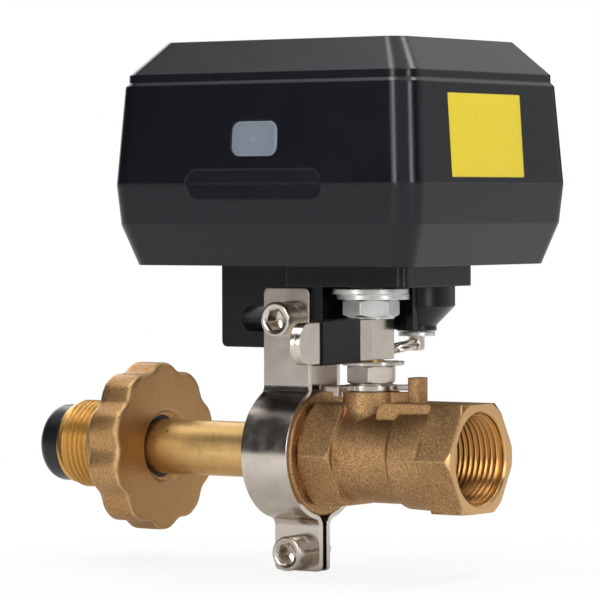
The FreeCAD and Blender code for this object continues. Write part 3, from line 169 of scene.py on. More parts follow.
studio = {
    "backdrop": (1.0, 1.0, 1.0, 1.0),
    "room": (0.035, 0.036, 0.04, 1.0),
    "floorHalf": 6.0,
    "floorDrop": 0.0002,                         # under the part's lowest point
    "floorColor": (0.86, 0.86, 0.86, 1.0),
    "floorRoughness": 0.8,
    "floorShine": 0.1,
    "shadowShare": 0.15,                         # how much of the lit floor shows under the part
    "shadowNear": 0.10,                          # from the middle, where it starts to fade to white
    "shadowFar": 0.45,
    "aim": (-0.045, 0.0, 0.035),
    # name: bearing from the front, angle above level, distance, width, height, brightness
    "boxes": {
        "overhead": (0.0, 90.0, 1.7, 2.0, 2.0, 1.1),
        "leftTop": (-70.0, 68.0, 1.8, 0.32, 0.30, 12.0),
        "rightTop": (160.0, 60.0, 1.8, 0.34, 0.30, 10.5),
        "frontHigh": (-25.0, 60.0, 1.8, 1.0, 0.6, 2.3),
        "rightHigh": (80.0, 66.0, 1.8, 0.9, 0.6, 4.7),
        "frontSide": (-11.0, 12.0, 1.7, 0.34, 0.66, 10.4),
        "rightSide": (71.0, 12.0, 1.7, 0.34, 0.66, 10.4),
        "behindCamera": (30.0, 25.0, 1.8, 1.5, 1.2, 0.8),
        "rightBack": (141.0, 14.0, 1.8, 1.9, 1.1, 0.55),
        "back": (170.0, 38.0, 1.8, 1.4, 0.9, 1.0),
        "leftHigh": (-78.0, 57.0, 1.8, 1.0, 0.4, 0.5),
        "leftCorner": (-62.0, 54.0, 1.8, 0.6, 0.35, 1.0),
        "leftBack": (-122.0, 20.0, 1.8, 0.9, 1.5, 3.1),
    },
}


def makeWorld(values):
    # The camera sees the backdrop, and the part is lit by the dim room.
    world = bpy.data.worlds.new("studioRoom")
    bpy.context.scene.world = world
    world.use_nodes = True
    world.node_tree.nodes.clear()
    t = Tree(world.node_tree)
    lit = t.add("Background", Color=values["room"])
    seen = t.add("Background", Color=values["backdrop"])
    cameraRay = t.add("LightPath").outputs["Is Camera Ray"]
    mix = t.add("MixShader", cameraRay, lit.outputs[0], seen.outputs[0])
    t.add("OutputWorld", Surface=mix.outputs[0])


def makeFloor(values):
    # The camera sees white paper, with a faint shadow near the part that fades with the distance.
    half = values["floorHalf"]
    low = cadBox[0][2] - values["floorDrop"]
    corners = [(-half, -half, low), (half, -half, low), (half, half, low), (-half, half, low)]
    data = bpy.data.meshes.new("floor")
    data.from_pydata(corners, [], [(0, 1, 2, 3)])
    floor = bpy.data.objects.new("floor", data)
    bpy.context.scene.collection.objects.link(floor)
    paint = bpy.data.materials.new("floorPaint")
    paint.use_nodes = True
    t = Tree(paint.node_tree)
    shader = t.nodes["Principled BSDF"]
    t.join(values["floorColor"], shader.inputs["Base Color"])
    t.join(values["floorRoughness"], shader.inputs["Roughness"])
    t.join(values["floorShine"], shader.inputs["Specular IOR Level"])
    glow = t.add("Emission", Color=values["backdrop"])
    far = t.add("VectorMath", t.add("TexCoord").outputs["Object"], settings={"operation": "LENGTH"})
    white = 1.0 - values["shadowShare"]
    fade = t.ramp(far.outputs["Value"], values["shadowNear"], values["shadowFar"], white)
    share = t.times(fade, t.add("LightPath").outputs["Is Camera Ray"])
    mix = t.add("MixShader", share, shader.outputs[0], glow.outputs[0])
    t.join(mix.outputs[0], t.nodes["Material Output"].inputs["Surface"])
    data.materials.append(paint)


def makeLights(values):
    # Each box lies on a sphere about the aim and faces it; its energy grows with brightness and area.
    aim = np.array(values["aim"])
    for name, (bearing, rise, distance, width, height, brightness) in values["boxes"].items():
        b, r = math.radians(bearing), math.radians(rise)
        back = np.array([math.sin(b) * math.cos(r), -math.cos(b) * math.cos(r), math.sin(r)])
        side = np.array([math.cos(b), math.sin(b), 0.0])
        data = bpy.data.lights.new(name, "AREA")
        data.shape = "RECTANGLE"
        data.size = width
        data.size_y = height
        data.energy = brightness * math.pi * width * height
        box = bpy.data.objects.new(name, data)
        turn = Matrix((side, np.cross(back, side), back)).transposed().to_4x4()
        box.matrix_world = Matrix.Translation(aim + back * distance) @ turn
        bpy.context.scene.collection.objects.link(box)


makeWorld(studio)
makeFloor(studio)
makeLights(studio)
bpy.context.scene.view_settings.view_transform = "Standard"
print("studio ready")

# Shader node groups

floatKind = "NodeSocketFloat"
vectorKind = "NodeSocketVector"

# where each mask starts and where it is full
maskRanges = {"blotch": (0.35, 0.65), "speckle": (0.6, 0.72), "line": (0.4, 0.65), "edge": (0.999, 0.9)}


def newGroup(name, inputs, outputs):
    # An empty group with named inputs of (label, kind, value) and outputs of (label, kind).
    tree = bpy.data.node_groups.new(name, "ShaderNodeTree")
    for label, kind, value in inputs:
        socket = tree.interface.new_socket(name=label, in_out="INPUT", socket_type=kind)
        if value is not None:
            socket.default_value = value
    for label, kind in outputs:
        tree.interface.new_socket(name=label, in_out="OUTPUT", socket_type=kind)
    t = Tree(tree)
    return tree, t, t.nodes.new("NodeGroupInput").outputs, t.nodes.new("NodeGroupOutput").inputs


def sandGroup():
    # Fine even grain as a height, with a slow mask for blotches and a speckle mask for bright grains.
    tree, t, given, out = newGroup(
        "sandGrain",
        [("Vector", vectorKind, None), ("Grain Size", floatKind, 0.0003), ("Blotch Size", floatKind, 0.004)],
        [("Height", floatKind), ("Blotch", floatKind), ("Speckle", floatKind)])
    fine, slow = (t.noise(given["Vector"], t.math("DIVIDE", 1.0, given[size]), detail=3.0, rough=0.6)
                  for size in ("Grain Size", "Blotch Size"))
    t.join(fine, out["Height"])
    t.join(t.ramp(slow, *maskRanges["blotch"]), out["Blotch"])
    t.join(t.ramp(fine, *maskRanges["speckle"]), out["Speckle"])
    return tree


def streakGroup():
    # Fine lines drawn out along one axis, as a height and a mask.
    tree, t, given, out = newGroup(
        "drawnStreaks",
        [("Vector", vectorKind, None), ("Stretch", vectorKind, (0.04, 1.0, 1.0)),
         ("Line Size", floatKind, 0.0003)],
        [("Height", floatKind), ("Mask", floatKind)])
    drawn = t.scaled(given["Vector"], given["Stretch"])
    lines = t.noise(drawn, t.math("DIVIDE", 1.0, given["Line Size"]), rough=0.6)
    t.join(lines, out["Height"])
    t.join(t.ramp(lines, *maskRanges["line"]), out["Mask"])
    return tree


def speckGroup():
    # Sparse small spots: cell centres whose random number is under the share get a round spot.
    tree, t, given, out = newGroup(
        "sparseSpots",
        [("Vector", vectorKind, None), ("Spacing", floatKind, 0.004), ("Spot Size", floatKind, 0.06),
         ("Share", floatKind, 0.3)],
        [("Mask", floatKind)])
    cells = t.add("TexVoronoi", Vector=given["Vector"], Scale=t.math("DIVIDE", 1.0, given["Spacing"]))
    near = t.math("LESS_THAN", cells.outputs["Distance"], given["Spot Size"])
    pick = t.add("SeparateColor", Color=cells.outputs["Color"]).outputs[0]
    chosen = t.math("LESS_THAN", pick, given["Share"])
    t.join(t.times(near, chosen), out["Mask"])
    return tree


def edgeGroup():
    # Rounded normal near edges, and a mask of where it differs from the flat one.
    tree, t, given, out = newGroup(
        "softEdges", [("Radius", floatKind, 0.0003)], [("Normal", vectorKind), ("Mask", floatKind)])
    rounded = t.add("Bevel", Radius=given["Radius"], settings={"samples": 4}).outputs[0]
    flat = t.add("NewGeometry").outputs["Normal"]
    same = t.add("VectorMath", rounded, flat, settings={"operation": "DOT_PRODUCT"})
    t.join(rounded, out["Normal"])
    t.join(t.ramp(same.outputs["Value"], *maskRanges["edge"]), out["Mask"])
    return tree


groups = {"sand": sandGroup(), "streak": streakGroup(), "speck": speckGroup(), "edge": edgeGroup()}


class Finish(Tree):
    # A material with one Principled shader, and short calls for the shared groups.
    def __init__(self, name, **sockets):
        self.material = bpy.data.materials.new(name)
        self.material.use_nodes = True
        super().__init__(self.material.node_tree)
        self.shader = self.nodes["Principled BSDF"]
        self.place = self.add("TexCoord").outputs["Object"]
        for label, value in sockets.items():
            self.join(value, self.shader.inputs[label.replace("_", " ")])

    def use(self, group, **values):
        # Adds a shared group. One with a place for an input takes the object's own, unless another is given.
        node = self.nodes.new("ShaderNodeGroup")
        node.node_tree = groups[group]
        if "Vector" in node.inputs:
            values.setdefault("Vector", self.place)
        for label, value in values.items():
            self.join(value, node.inputs[label.replace("_", " ")])
        return node.outputs

    def axis(self, name):
        # The place along one axis.
        return self.add("SeparateXYZ", Vector=self.place).outputs[name]

    def facing(self, name):
        # How far the surface faces along one axis, from -1 to 1.
        return self.add("SeparateXYZ", Vector=self.add("TexCoord").outputs["Normal"]).outputs[name]

    def bump(self, height, depth, normal=None):
        node = self.add("Bump", Height=height, Distance=depth)
        if normal is not None:
            self.join(normal, node.inputs["Normal"])
        return node.outputs["Normal"]

    def finish(self, color, rough, normal=None):
        self.join(color, self.shader.inputs["Base Color"])
        self.join(rough, self.shader.inputs["Roughness"])
        if normal is not None:
            self.join(normal, self.shader.inputs["Normal"])
        return self.material


def tone(r, g, b):
    return (r, g, b, 1.0)


# Finishes

def blackPlastic():
    # Moulded texture with faint slow blotches, sparse dust and softened edges.
    look = {
        "dark": tone(0.0025, 0.0032, 0.0060), "light": tone(0.0033, 0.0040, 0.0070),
        "dust": tone(0.12, 0.115, 0.11), "dustShare": 0.2, "roughness": (0.24, 0.265), "grainDepth": 0.000006,
    }
    f = Finish("blackMouldedPlastic", IOR=1.4)
    grain = f.use("sand", Grain_Size=0.00035, Blotch_Size=0.009)
    dust = f.use("speck", Spacing=0.0045, Spot_Size=0.03, Share=0.25)["Mask"]
    edge = f.use("edge", Radius=0.0005)
    color = f.mix(grain["Blotch"], look["dark"], look["light"])
    color = f.over(color, dust, look["dustShare"], look["dust"])
    rough = f.between(grain["Blotch"], *look["roughness"])
    return f.finish(color, rough, f.bump(grain["Height"], look["grainDepth"], edge["Normal"]))


def buttonLens():
    # Milky plastic with a dull ring. It is painted lighter towards its middle and with a bright spot over
    # the lamp: painted glow of the lamp behind it.
    look = {
        "x": -41.4 * mm, "z": 76.1 * mm,
        "paintedGlowReach": 6.0 * mm, "ringRadius": 1.6 * mm, "ringReach": 0.35 * mm, "paintedSpotReach": 1.1 * mm,
        "outer": tone(0.165, 0.195, 0.235), "inner": tone(0.190, 0.220, 0.258),
        "ring": tone(0.145, 0.17, 0.21), "spot": tone(0.25, 0.28, 0.32), "edge": tone(0.28, 0.32, 0.365),
        "share": 0.5, "coat": 0.35,
        "roughness": (0.3, 0.4), "cloudScale": 260.0, "cloudRange": (0.3, 0.7), "cloudDepth": 0.00002,
    }
    f = Finish("milkyButton", IOR=1.49, Coat_Roughness=0.12, Coat_Weight=look["coat"])
    far = f.diagonal(f.math("SUBTRACT", f.axis("X"), look["x"]), f.math("SUBTRACT", f.axis("Z"), look["z"]))
    fromRing = f.math("ABSOLUTE", f.math("SUBTRACT", far, look["ringRadius"]))
    edge = f.use("edge", Radius=0.0005)
    # painted glow of the lamp behind: lighter towards the middle
    glow = f.ramp(far, 0.0, look["paintedGlowReach"], 1.0, 0.0)
    color = f.mix(glow, look["outer"], look["inner"])
    color = f.over(color, f.ramp(fromRing, 0.0, look["ringReach"], 1.0, 0.0), look["share"], look["ring"])
    # painted glow of the lamp: a bright spot over it
    color = f.over(color, f.ramp(far, 0.0, look["paintedSpotReach"], 1.0, 0.0), look["share"], look["spot"])
    color = f.over(color, edge["Mask"], look["share"], look["edge"])
    cloud = f.noise(f.place, look["cloudScale"], detail=3.0)
    rough = f.ramp(cloud, *look["cloudRange"], *look["roughness"])
    return f.finish(color, rough, f.bump(cloud, look["cloudDepth"], edge["Normal"]))


def plated(name, dark, light, worn, roughness, grainDepth, scratchShare=0.12):
    # Plated sheet metal: tumbled grain, slow tone changes, fine scratches and bright edges, partly wear
    # and partly a painted highlight.
    look = {
        "scratch": tone(0.3, 0.28, 0.26), "wornAndHighlightShare": 0.8, "smoother": 0.04, "rougher": 0.05,
        "pitRoughness": 0.15, "scratchHeight": 0.5,
    }
    f = Finish(name, Metallic=1.0)
    grain = f.use("sand", Grain_Size=0.00022, Blotch_Size=0.005)
    scratch = f.use("streak", Stretch=(0.25, 0.25, 1.0), Line_Size=0.0002)
    pits = f.use("speck", Spacing=0.0011, Spot_Size=0.09, Share=0.25)["Mask"]
    edge = f.use("edge", Radius=0.0004)
    color = f.mix(grain["Blotch"], dark, light)
    color = f.over(color, scratch["Mask"], scratchShare, look["scratch"])
    # bright edges: partly wear, partly a painted highlight on the rounded corners
    color = f.over(color, edge["Mask"], look["wornAndHighlightShare"], worn)
    rough = f.between(grain["Blotch"], roughness - look["smoother"], roughness + look["rougher"])
    rough = f.math("ADD", rough, f.times(pits, look["pitRoughness"]))
    height = f.math("ADD", grain["Height"], f.times(scratch["Height"], look["scratchHeight"]))
    return f.finish(color, rough, f.bump(height, grainDepth, edge["Normal"]))


def nickel():
    return plated("satinNickel", dark=tone(0.56, 0.50, 0.435), light=tone(0.65, 0.585, 0.51),
                  worn=tone(0.84, 0.79, 0.72), roughness=0.2, grainDepth=0.000003)


def dullNickel():
    return plated("tumbledNickel", dark=tone(0.38, 0.34, 0.295), light=tone(0.45, 0.40, 0.345),
                  worn=tone(0.84, 0.79, 0.72), roughness=0.34, grainDepth=0.000005)


def zinc():
    return plated("brightZinc", dark=tone(0.56, 0.575, 0.555), light=tone(0.65, 0.665, 0.64),
                  worn=tone(0.90, 0.90, 0.88), roughness=0.34, grainDepth=0.000012, scratchShare=0.02)


def machinedSteel():
    return plated("machinedSteel", dark=tone(0.36, 0.36, 0.37), light=tone(0.48, 0.48, 0.49),
                  worn=tone(0.7, 0.7, 0.7), roughness=0.34, grainDepth=0.000006)


def highGrains(f, grain):
    # Mask of the high grains of a blasted or cast skin.
    lowest, highest = 0.36, 0.62
    return f.ramp(grain["Height"], lowest, highest)


def forgedBrass():
    # Sandblasted forging with a flash line at mid height, and brighter edges, partly wear and partly a
    # painted highlight. The port's end face, edge cone and bore are machined; the bore is painted darker and
    # more orange as painted shade and reflected colour, and the crests of its thread are painted bright as a
    # painted highlight.
    look = {
        "faceX": -0.06 * mm, "mouthX": -0.62 * mm, "coneX": -4.0 * mm, "boreX": -17.0 * mm,
        "coneFacing": 0.3, "boreRadius": 11.6 * mm, "crestRadius": 10.2 * mm, "crestReach": 0.3 * mm,
        "seamHalf": 0.16 * mm, "seamCore": 0.3, "seamHeight": 1.2, "wander": 0.25 * mm, "wanderScale": 500.0,
        "lows": (tone(0.27, 0.150, 0.062), tone(0.33, 0.188, 0.081)),
        "highs": (tone(0.52, 0.312, 0.142), tone(0.60, 0.370, 0.176)),
        "speckle": tone(0.82, 0.60, 0.35), "speckleShare": 0.5,
        "spot": tone(0.15, 0.085, 0.038), "spotShare": 0.35,
        "seam": tone(0.66, 0.46, 0.23), "seamShare": 0.5,
        # brighter edges: partly wear, partly a painted highlight
        "worn": (tone(0.60, 0.385, 0.175), tone(0.84, 0.60, 0.32)), "wornAndHighlightShare": 0.5,
        # bore colour: darker and more orange, painted shade and reflected colour; crest colour: a painted
        # highlight
        "turned": tone(0.60, 0.37, 0.163), "bore": tone(0.43, 0.190, 0.047), "crest": tone(0.86, 0.58, 0.26),
        # on the skin and on machined faces
        "edge": (0.0008, 0.0005), "depth": (0.00006, 0.000003),
        "roughness": (0.46, 0.54), "machinedRoughness": 0.28,
    }
    f = Finish("sandblastedBrass", Metallic=1.0)
    grain = f.use("sand", Grain_Size=0.00042, Blotch_Size=0.006)
    spots = f.use("speck", Spacing=0.0016, Spot_Size=0.14, Share=0.12)["Mask"]
    x, y, z = (f.axis(name) for name in "XYZ")
    radius = f.diagonal(y, z)
    inside = f.times(f.math("LESS_THAN", radius, look["boreRadius"]),
                     f.math("GREATER_THAN", x, look["boreX"]))
    inBore = f.times(inside, f.math("LESS_THAN", x, look["mouthX"]))
    crestEnd = look["crestRadius"] + look["crestReach"]
    crest = f.times(inBore, f.ramp(radius, look["crestRadius"], crestEnd, 1.0, 0.0))
    cone = f.times(f.math("GREATER_THAN", f.facing("X"), look["coneFacing"]),
                   f.math("GREATER_THAN", x, look["coneX"]))
    turned = f.math("MAXIMUM", cone, f.math("GREATER_THAN", x, look["faceX"]))
    machined = f.math("MAXIMUM", inBore, turned)
    edge = f.use("edge", Radius=f.between(machined, *look["edge"]))
    skin = highGrains(f, grain)
    wander = f.times(f.math("SUBTRACT", f.noise(f.place, look["wanderScale"]), 0.5), look["wander"])
    fromSeam = f.math("ABSOLUTE", f.math("ADD", z, wander))
    seam = f.ramp(fromSeam, look["seamCore"] * look["seamHalf"], look["seamHalf"], 1.0, 0.0)
    color = f.mix(skin, f.mix(grain["Blotch"], *look["lows"]), f.mix(grain["Blotch"], *look["highs"]))
    color = f.over(color, grain["Speckle"], look["speckleShare"], look["speckle"])
    color = f.over(color, spots, look["spotShare"], look["spot"])
    color = f.over(color, seam, look["seamShare"], look["seam"])
    # brighter edges: partly wear, partly a painted highlight
    color = f.over(color, edge["Mask"], look["wornAndHighlightShare"], f.mix(skin, *look["worn"]))
    # the bore is painted darker and more orange as painted shade and reflected colour, the crests lighter as
    # a painted highlight
    for mask, name in ((turned, "turned"), (inBore, "bore"), (crest, "crest")):
        color = f.mix(mask, color, look[name])
    rough = f.between(machined, f.between(grain["Blotch"], *look["roughness"]), look["machinedRoughness"])
    height = f.math("ADD", grain["Height"], f.times(seam, look["seamHeight"]))
    depth = f.between(machined, *look["depth"])
    return f.finish(color, rough, f.bump(height, depth, edge["Normal"]))


def drawnBrass():
    # Smooth drawn tube: long faint lines, a few small pits and a warm tarnish.
    look = {
        "dark": tone(0.64, 0.395, 0.143), "light": tone(0.73, 0.468, 0.188),
        "line": tone(0.88, 0.66, 0.36), "lineShare": 0.2, "lineHeight": 0.4,
        "smudge": tone(0.42, 0.27, 0.12), "smudgeShare": 0.4,
        "smudgeScale": 420.0, "smudgeRange": (0.56, 0.68),
        "pit": tone(0.14, 0.08, 0.03), "pitShare": 0.8, "pitStretch": (0.7, 1.0, 1.0),
        "roughness": (0.38, 0.46), "depth": 0.00002,
    }
    f = Finish("drawnBrass", Metallic=1.0)
    lines = f.use("streak", Stretch=(0.03, 1.0, 1.0), Line_Size=0.0005)
    grain = f.use("sand", Grain_Size=0.0004, Blotch_Size=0.008)
    pitPlace = f.scaled(f.place, look["pitStretch"])
    pits = f.use("speck", Vector=pitPlace, Spacing=0.0030, Spot_Size=0.13, Share=0.42)["Mask"]
    smudge = f.ramp(f.noise(f.place, look["smudgeScale"], detail=3.0, rough=0.6), *look["smudgeRange"])
    edge = f.use("edge", Radius=0.0002)
    color = f.mix(grain["Blotch"], look["dark"], look["light"])
    color = f.over(color, lines["Mask"], look["lineShare"], look["line"])
    color = f.over(color, smudge, look["smudgeShare"], look["smudge"])
    color = f.over(color, pits, look["pitShare"], look["pit"])
    rough = f.between(grain["Blotch"], *look["roughness"])
    height = f.math("SUBTRACT", f.times(lines["Height"], look["lineHeight"]), pits)
    return f.finish(color, rough, f.bump(height, look["depth"], edge["Normal"]))


def castBrass():
    # Handwheel: fine cast skin with bright edges, partly wear and partly a painted highlight, smoother on its
    # front face. The thread beyond the hub is cut metal.
    look = {
        "threadX": -110.1 * mm, "hubX": -102.7 * mm, "frontX": -93.6 * mm, "frontReach": 0.4 * mm,
        "frontSkin": 0.3,
        "edgeFacing": (0.15, 0.35), "faceFacing": (0.6, 0.92),
        "rimPatchScale": 160.0, "rimPatchRange": (0.35, 0.6), "wear": (0.35, 1.0),
        "plain": (tone(0.38, 0.208, 0.079), tone(0.44, 0.250, 0.098)),
        "rich": (tone(0.27, 0.149, 0.059), tone(0.58, 0.352, 0.154)), "richShare": 0.75,
        "worn": (tone(0.58, 0.375, 0.18), tone(0.90, 0.67, 0.39)), "wornAndHighlightShare": 0.75,
        "cut": tone(0.61, 0.335, 0.090),
        "roughness": (0.40, 0.47), "hubRoughness": 0.5, "cutRoughness": 0.33,
        "depth": (0.00002, 0.000055), "cutDepth": 0.000004,
    }
    f = Finish("castBrass", Metallic=1.0)
    grain = f.use("sand", Grain_Size=0.0004, Blotch_Size=0.009)
    edge = f.use("edge", Radius=0.0011)
    x, facing = f.axis("X"), f.facing("X")
    skin = highGrains(f, grain)
    side = f.ramp(x, look["frontX"] - look["frontReach"], look["frontX"], 1.0, look["frontSkin"])
    cut = f.math("LESS_THAN", x, look["threadX"])
    hub = f.math("LESS_THAN", x, look["hubX"])
    # band round the rim's rounded edge, in patches, painted brighter: partly wear, partly a painted highlight
    rounding = f.times(f.ramp(facing, *look["edgeFacing"]), f.ramp(facing, *look["faceFacing"], 1.0, 0.0))
    wear = f.ramp(f.noise(f.place, look["rimPatchScale"]), *look["rimPatchRange"], *look["wear"])
    rimWearAndHighlight = f.times(f.times(rounding, wear), f.math("SUBTRACT", 1.0, hub))
    color = f.mix(f.times(side, look["richShare"]), f.mix(grain["Blotch"], *look["plain"]),
                  f.mix(skin, *look["rich"]))
    # brighter edges and rim band: partly wear, partly a painted highlight
    color = f.over(color, f.math("MAXIMUM", edge["Mask"], rimWearAndHighlight), look["wornAndHighlightShare"],
                   f.mix(skin, *look["worn"]))
    color = f.mix(cut, color, look["cut"])
    rough = f.between(hub, f.between(grain["Blotch"], *look["roughness"]), look["hubRoughness"])
    rough = f.between(cut, rough, look["cutRoughness"])
    depth = f.between(cut, f.ramp(side, look["frontSkin"], 1.0, *look["depth"]), look["cutDepth"])
    return f.finish(color, rough, f.bump(grain["Height"], depth, edge["Normal"]))


def plainFinish(name, dark, light, roughness, depth, **sockets):
    # Moulded or dipped surface with fine grain and slow tone changes.
    look = {"smoother": 0.03, "rougher": 0.04}
    f = Finish(name, **sockets)
    grain = f.use("sand", Grain_Size=0.0003, Blotch_Size=0.006)
    edge = f.use("edge", Radius=0.0003)
    color = f.mix(grain["Blotch"], dark, light)
    rough = f.between(grain["Blotch"], roughness - look["smoother"], roughness + look["rougher"])
    return f.finish(color, rough, f.bump(grain["Height"], depth, edge["Normal"]))


def rubber():
    return plainFinish("satinRubber", dark=tone(0.004, 0.0045, 0.006), light=tone(0.006, 0.007, 0.009),
                       roughness=0.33, depth=0.000008, IOR=1.4)


def gripVinyl():
    return plainFinish("dippedVinyl", dark=tone(0.0025, 0.0026, 0.0034), light=tone(0.0035, 0.0036, 0.0044),
                       roughness=0.42, depth=0.00001, IOR=1.27)


def whiteSeal():
    return plainFinish("whiteSeal", dark=tone(0.74, 0.74, 0.72), light=tone(0.82, 0.82, 0.80),
                       roughness=0.4, depth=0.000006)


def blackNylon():
    return plainFinish("blackNylon", dark=tone(0.012, 0.012, 0.013), light=tone(0.018, 0.018, 0.019),
                       roughness=0.45, depth=0.00001)


def boardGreen():
    # Solder mask with copper tracks showing as a slightly lighter net.
    look = {
        "field": tone(0.012, 0.10, 0.045), "lighterField": tone(0.012, 0.12, 0.05),
        "track": tone(0.03, 0.20, 0.08), "trackScale": 220.0,
        "roughness": (0.25, 0.35), "grainScale": 900.0, "grainRange": (0.3, 0.7),
    }
    f = Finish("boardGreen", IOR=1.5)
    tracks = f.add("TexBrick", Vector=f.place, Scale=look["trackScale"], Color1=look["field"],
                   Color2=look["lighterField"], Mortar=look["track"]).outputs["Color"]
    grain = f.noise(f.place, look["grainScale"])
    return f.finish(tracks, f.ramp(grain, *look["grainRange"], *look["roughness"]))


def labelYellow():
    # Bare printed paper: even yellow, faint fibres and a slightly darker cut edge.
    look = {
        "dark": tone(0.74, 0.58, 0.036), "light": tone(0.79, 0.62, 0.044), "edge": tone(0.50, 0.36, 0.02),
        "edgeShare": 0.35, "roughness": (0.42, 0.5), "depth": 0.000004,
    }
    f = Finish("yellowLabel", IOR=1.3)
    fibre = f.use("streak", Stretch=(1.0, 0.3, 1.0), Line_Size=0.0004)
    edge = f.use("edge", Radius=0.0003)
    color = f.mix(fibre["Mask"], look["dark"], look["light"])
    color = f.over(color, edge["Mask"], look["edgeShare"], look["edge"])
    rough = f.between(fibre["Mask"], *look["roughness"])
    return f.finish(color, rough, f.bump(fibre["Height"], look["depth"]))


finishes = {
    "black_plastic": blackPlastic(), "button_lens": buttonLens(), "nickel": nickel(), "zinc": zinc(),
    "steel": machinedSteel(), "forged_brass": forgedBrass(), "drawn_brass": drawnBrass(),
    "cast_brass": castBrass(), "white_seal": whiteSeal(), "rubber": rubber(), "black_nylon": blackNylon(),
    "grip_vinyl": gripVinyl(), "board": boardGreen(), "dull_nickel": dullNickel(),
}

# nodes that look other than their slot says
nodeLooks = {"stem_nut": "dull_nickel", "clutch_pin": "nickel", "clutch_washer": "zinc"}


def paintNodes():
    for row in frame["record"]["subparts"]:
        node = frame["nodes"][row["node"]]
        finish = finishes[nodeLooks.get(row["node"], row["material_slot"])]
        if not node.material_slots:
            node.data.materials.append(finish)
        for slot in node.material_slots:
            slot.material = finish


paintNodes()
print("finishes on", len(frame["nodes"]), "nodes")

# Surfaces worked out with numpy


def gridMesh(name, points, body, slotName, finish=None, wrapColumns=False, flip=False, caps=False):
    # Quads between neighbours in a grid of points (rows, columns, 3). The rows close into a ring, and so do
    # the columns if told; caps close the first and last column with one face each.
    rows, columns = points.shape[:2]
    number = np.arange(rows * columns).reshape(rows, columns)
    a = number if wrapColumns else number[:, :-1]
    b = np.roll(a, -1, axis=0)
    c = np.roll(number, -1, axis=1) if wrapColumns else number[:, 1:]
    d = np.roll(c, -1, axis=0)
    quads = np.stack([a, b, d, c], axis=-1).reshape(-1, 4)
    if flip:
        quads = quads[:, ::-1]
    faces = quads.tolist()
    if caps:
        ends = [number[:, 0][::-1], number[:, -1]]
        faces += [(end[::-1] if flip else end).tolist() for end in ends]
    data = bpy.data.meshes.new(name)
    data.from_pydata((points.reshape(-1, 3) * mm).tolist(), [], faces)
    data.polygons.foreach_set("use_smooth", np.ones(len(data.polygons), bool))
    data.update()
    data.materials.append(finish or finishes[slotName])
    piece = bpy.data.objects.new(name, data)
    bpy.context.scene.collection.objects.link(piece)
    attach(piece, body)
    return piece


def bearings(steps):
    # Even bearings round a full turn, one to a row.
    return np.linspace(0.0, fullTurn, steps, endpoint=False)[:, None]


def places(x, y, z):
    # Points of a grid from their three places, each given by row, by column or by both.
    return np.stack(np.broadcast_arrays(x, y, z), axis=-1)


def roundedProfile(corners, steps=6):
    # Outline of (x, radius, bend) corners: each bend is a quadratic curve between points that far away.
    corners = np.array(corners, float)
    spots = corners[:, :2]
    before = np.roll(spots, 1, axis=0) - spots
    after = np.roll(spots, -1, axis=0) - spots
    before /= np.linalg.norm(before, axis=1)[:, None]
    after /= np.linalg.norm(after, axis=1)[:, None]
    s = np.linspace(0.0, 1.0, steps)[None, :, None]
    start = (spots + before * corners[:, 2:3])[:, None]
    end = (spots + after * corners[:, 2:3])[:, None]
    curve = (1 - s) ** 2 * start + 2 * s * (1 - s) * spots[:, None] + s ** 2 * end
    return curve.reshape(-1, 2)


def threadShape(phase, flat):
    # Vee thread, 0 at the root and 1 at the crest, for a phase counted in turns; both ends of the vee are cut
    # off by a share of the pitch.
    wave = np.abs((phase % 1.0) - 0.5) * 2.0
    return 1.0 - np.clip((wave - flat) / (1.0 - 2 * flat), 0.0, 1.0)


# Handwheel nut

handwheel = {
    "front": -93.4, "back": -102.6, "rim": 21.0, "rimWearAndHighlight": 1.3,
    "bore": 7.8, "boreEdge": 0.2, "sink": 9.05, "sinkEdge": 0.25, "sinkDepth": 1.3,
    "lobes": 10, "firstLobe": 18.0, "valley": 1.5, "valleyPower": 1.6,
    "rimWidth": 4.0,                             # out from the hub, where the lobes begin
    "hub": 11.4, "hubEnd": -110.2, "hubEdge": 0.5, "fillet": 1.6,
    "threadRoot": 10.1, "threadCrest": 11.0, "threadEnd": -119.1, "pitch": 1.5, "threadFlat": 0.18,
    "runIn": 0.9, "runOut": 0.5,                 # over which the thread rises at its end and its hub
    "lead": 10.1, "leadEnd": -120.7, "leadEdge": 0.4,
    "roundSteps": 360, "threadSteps": 120, "slack": 1e-6,
}


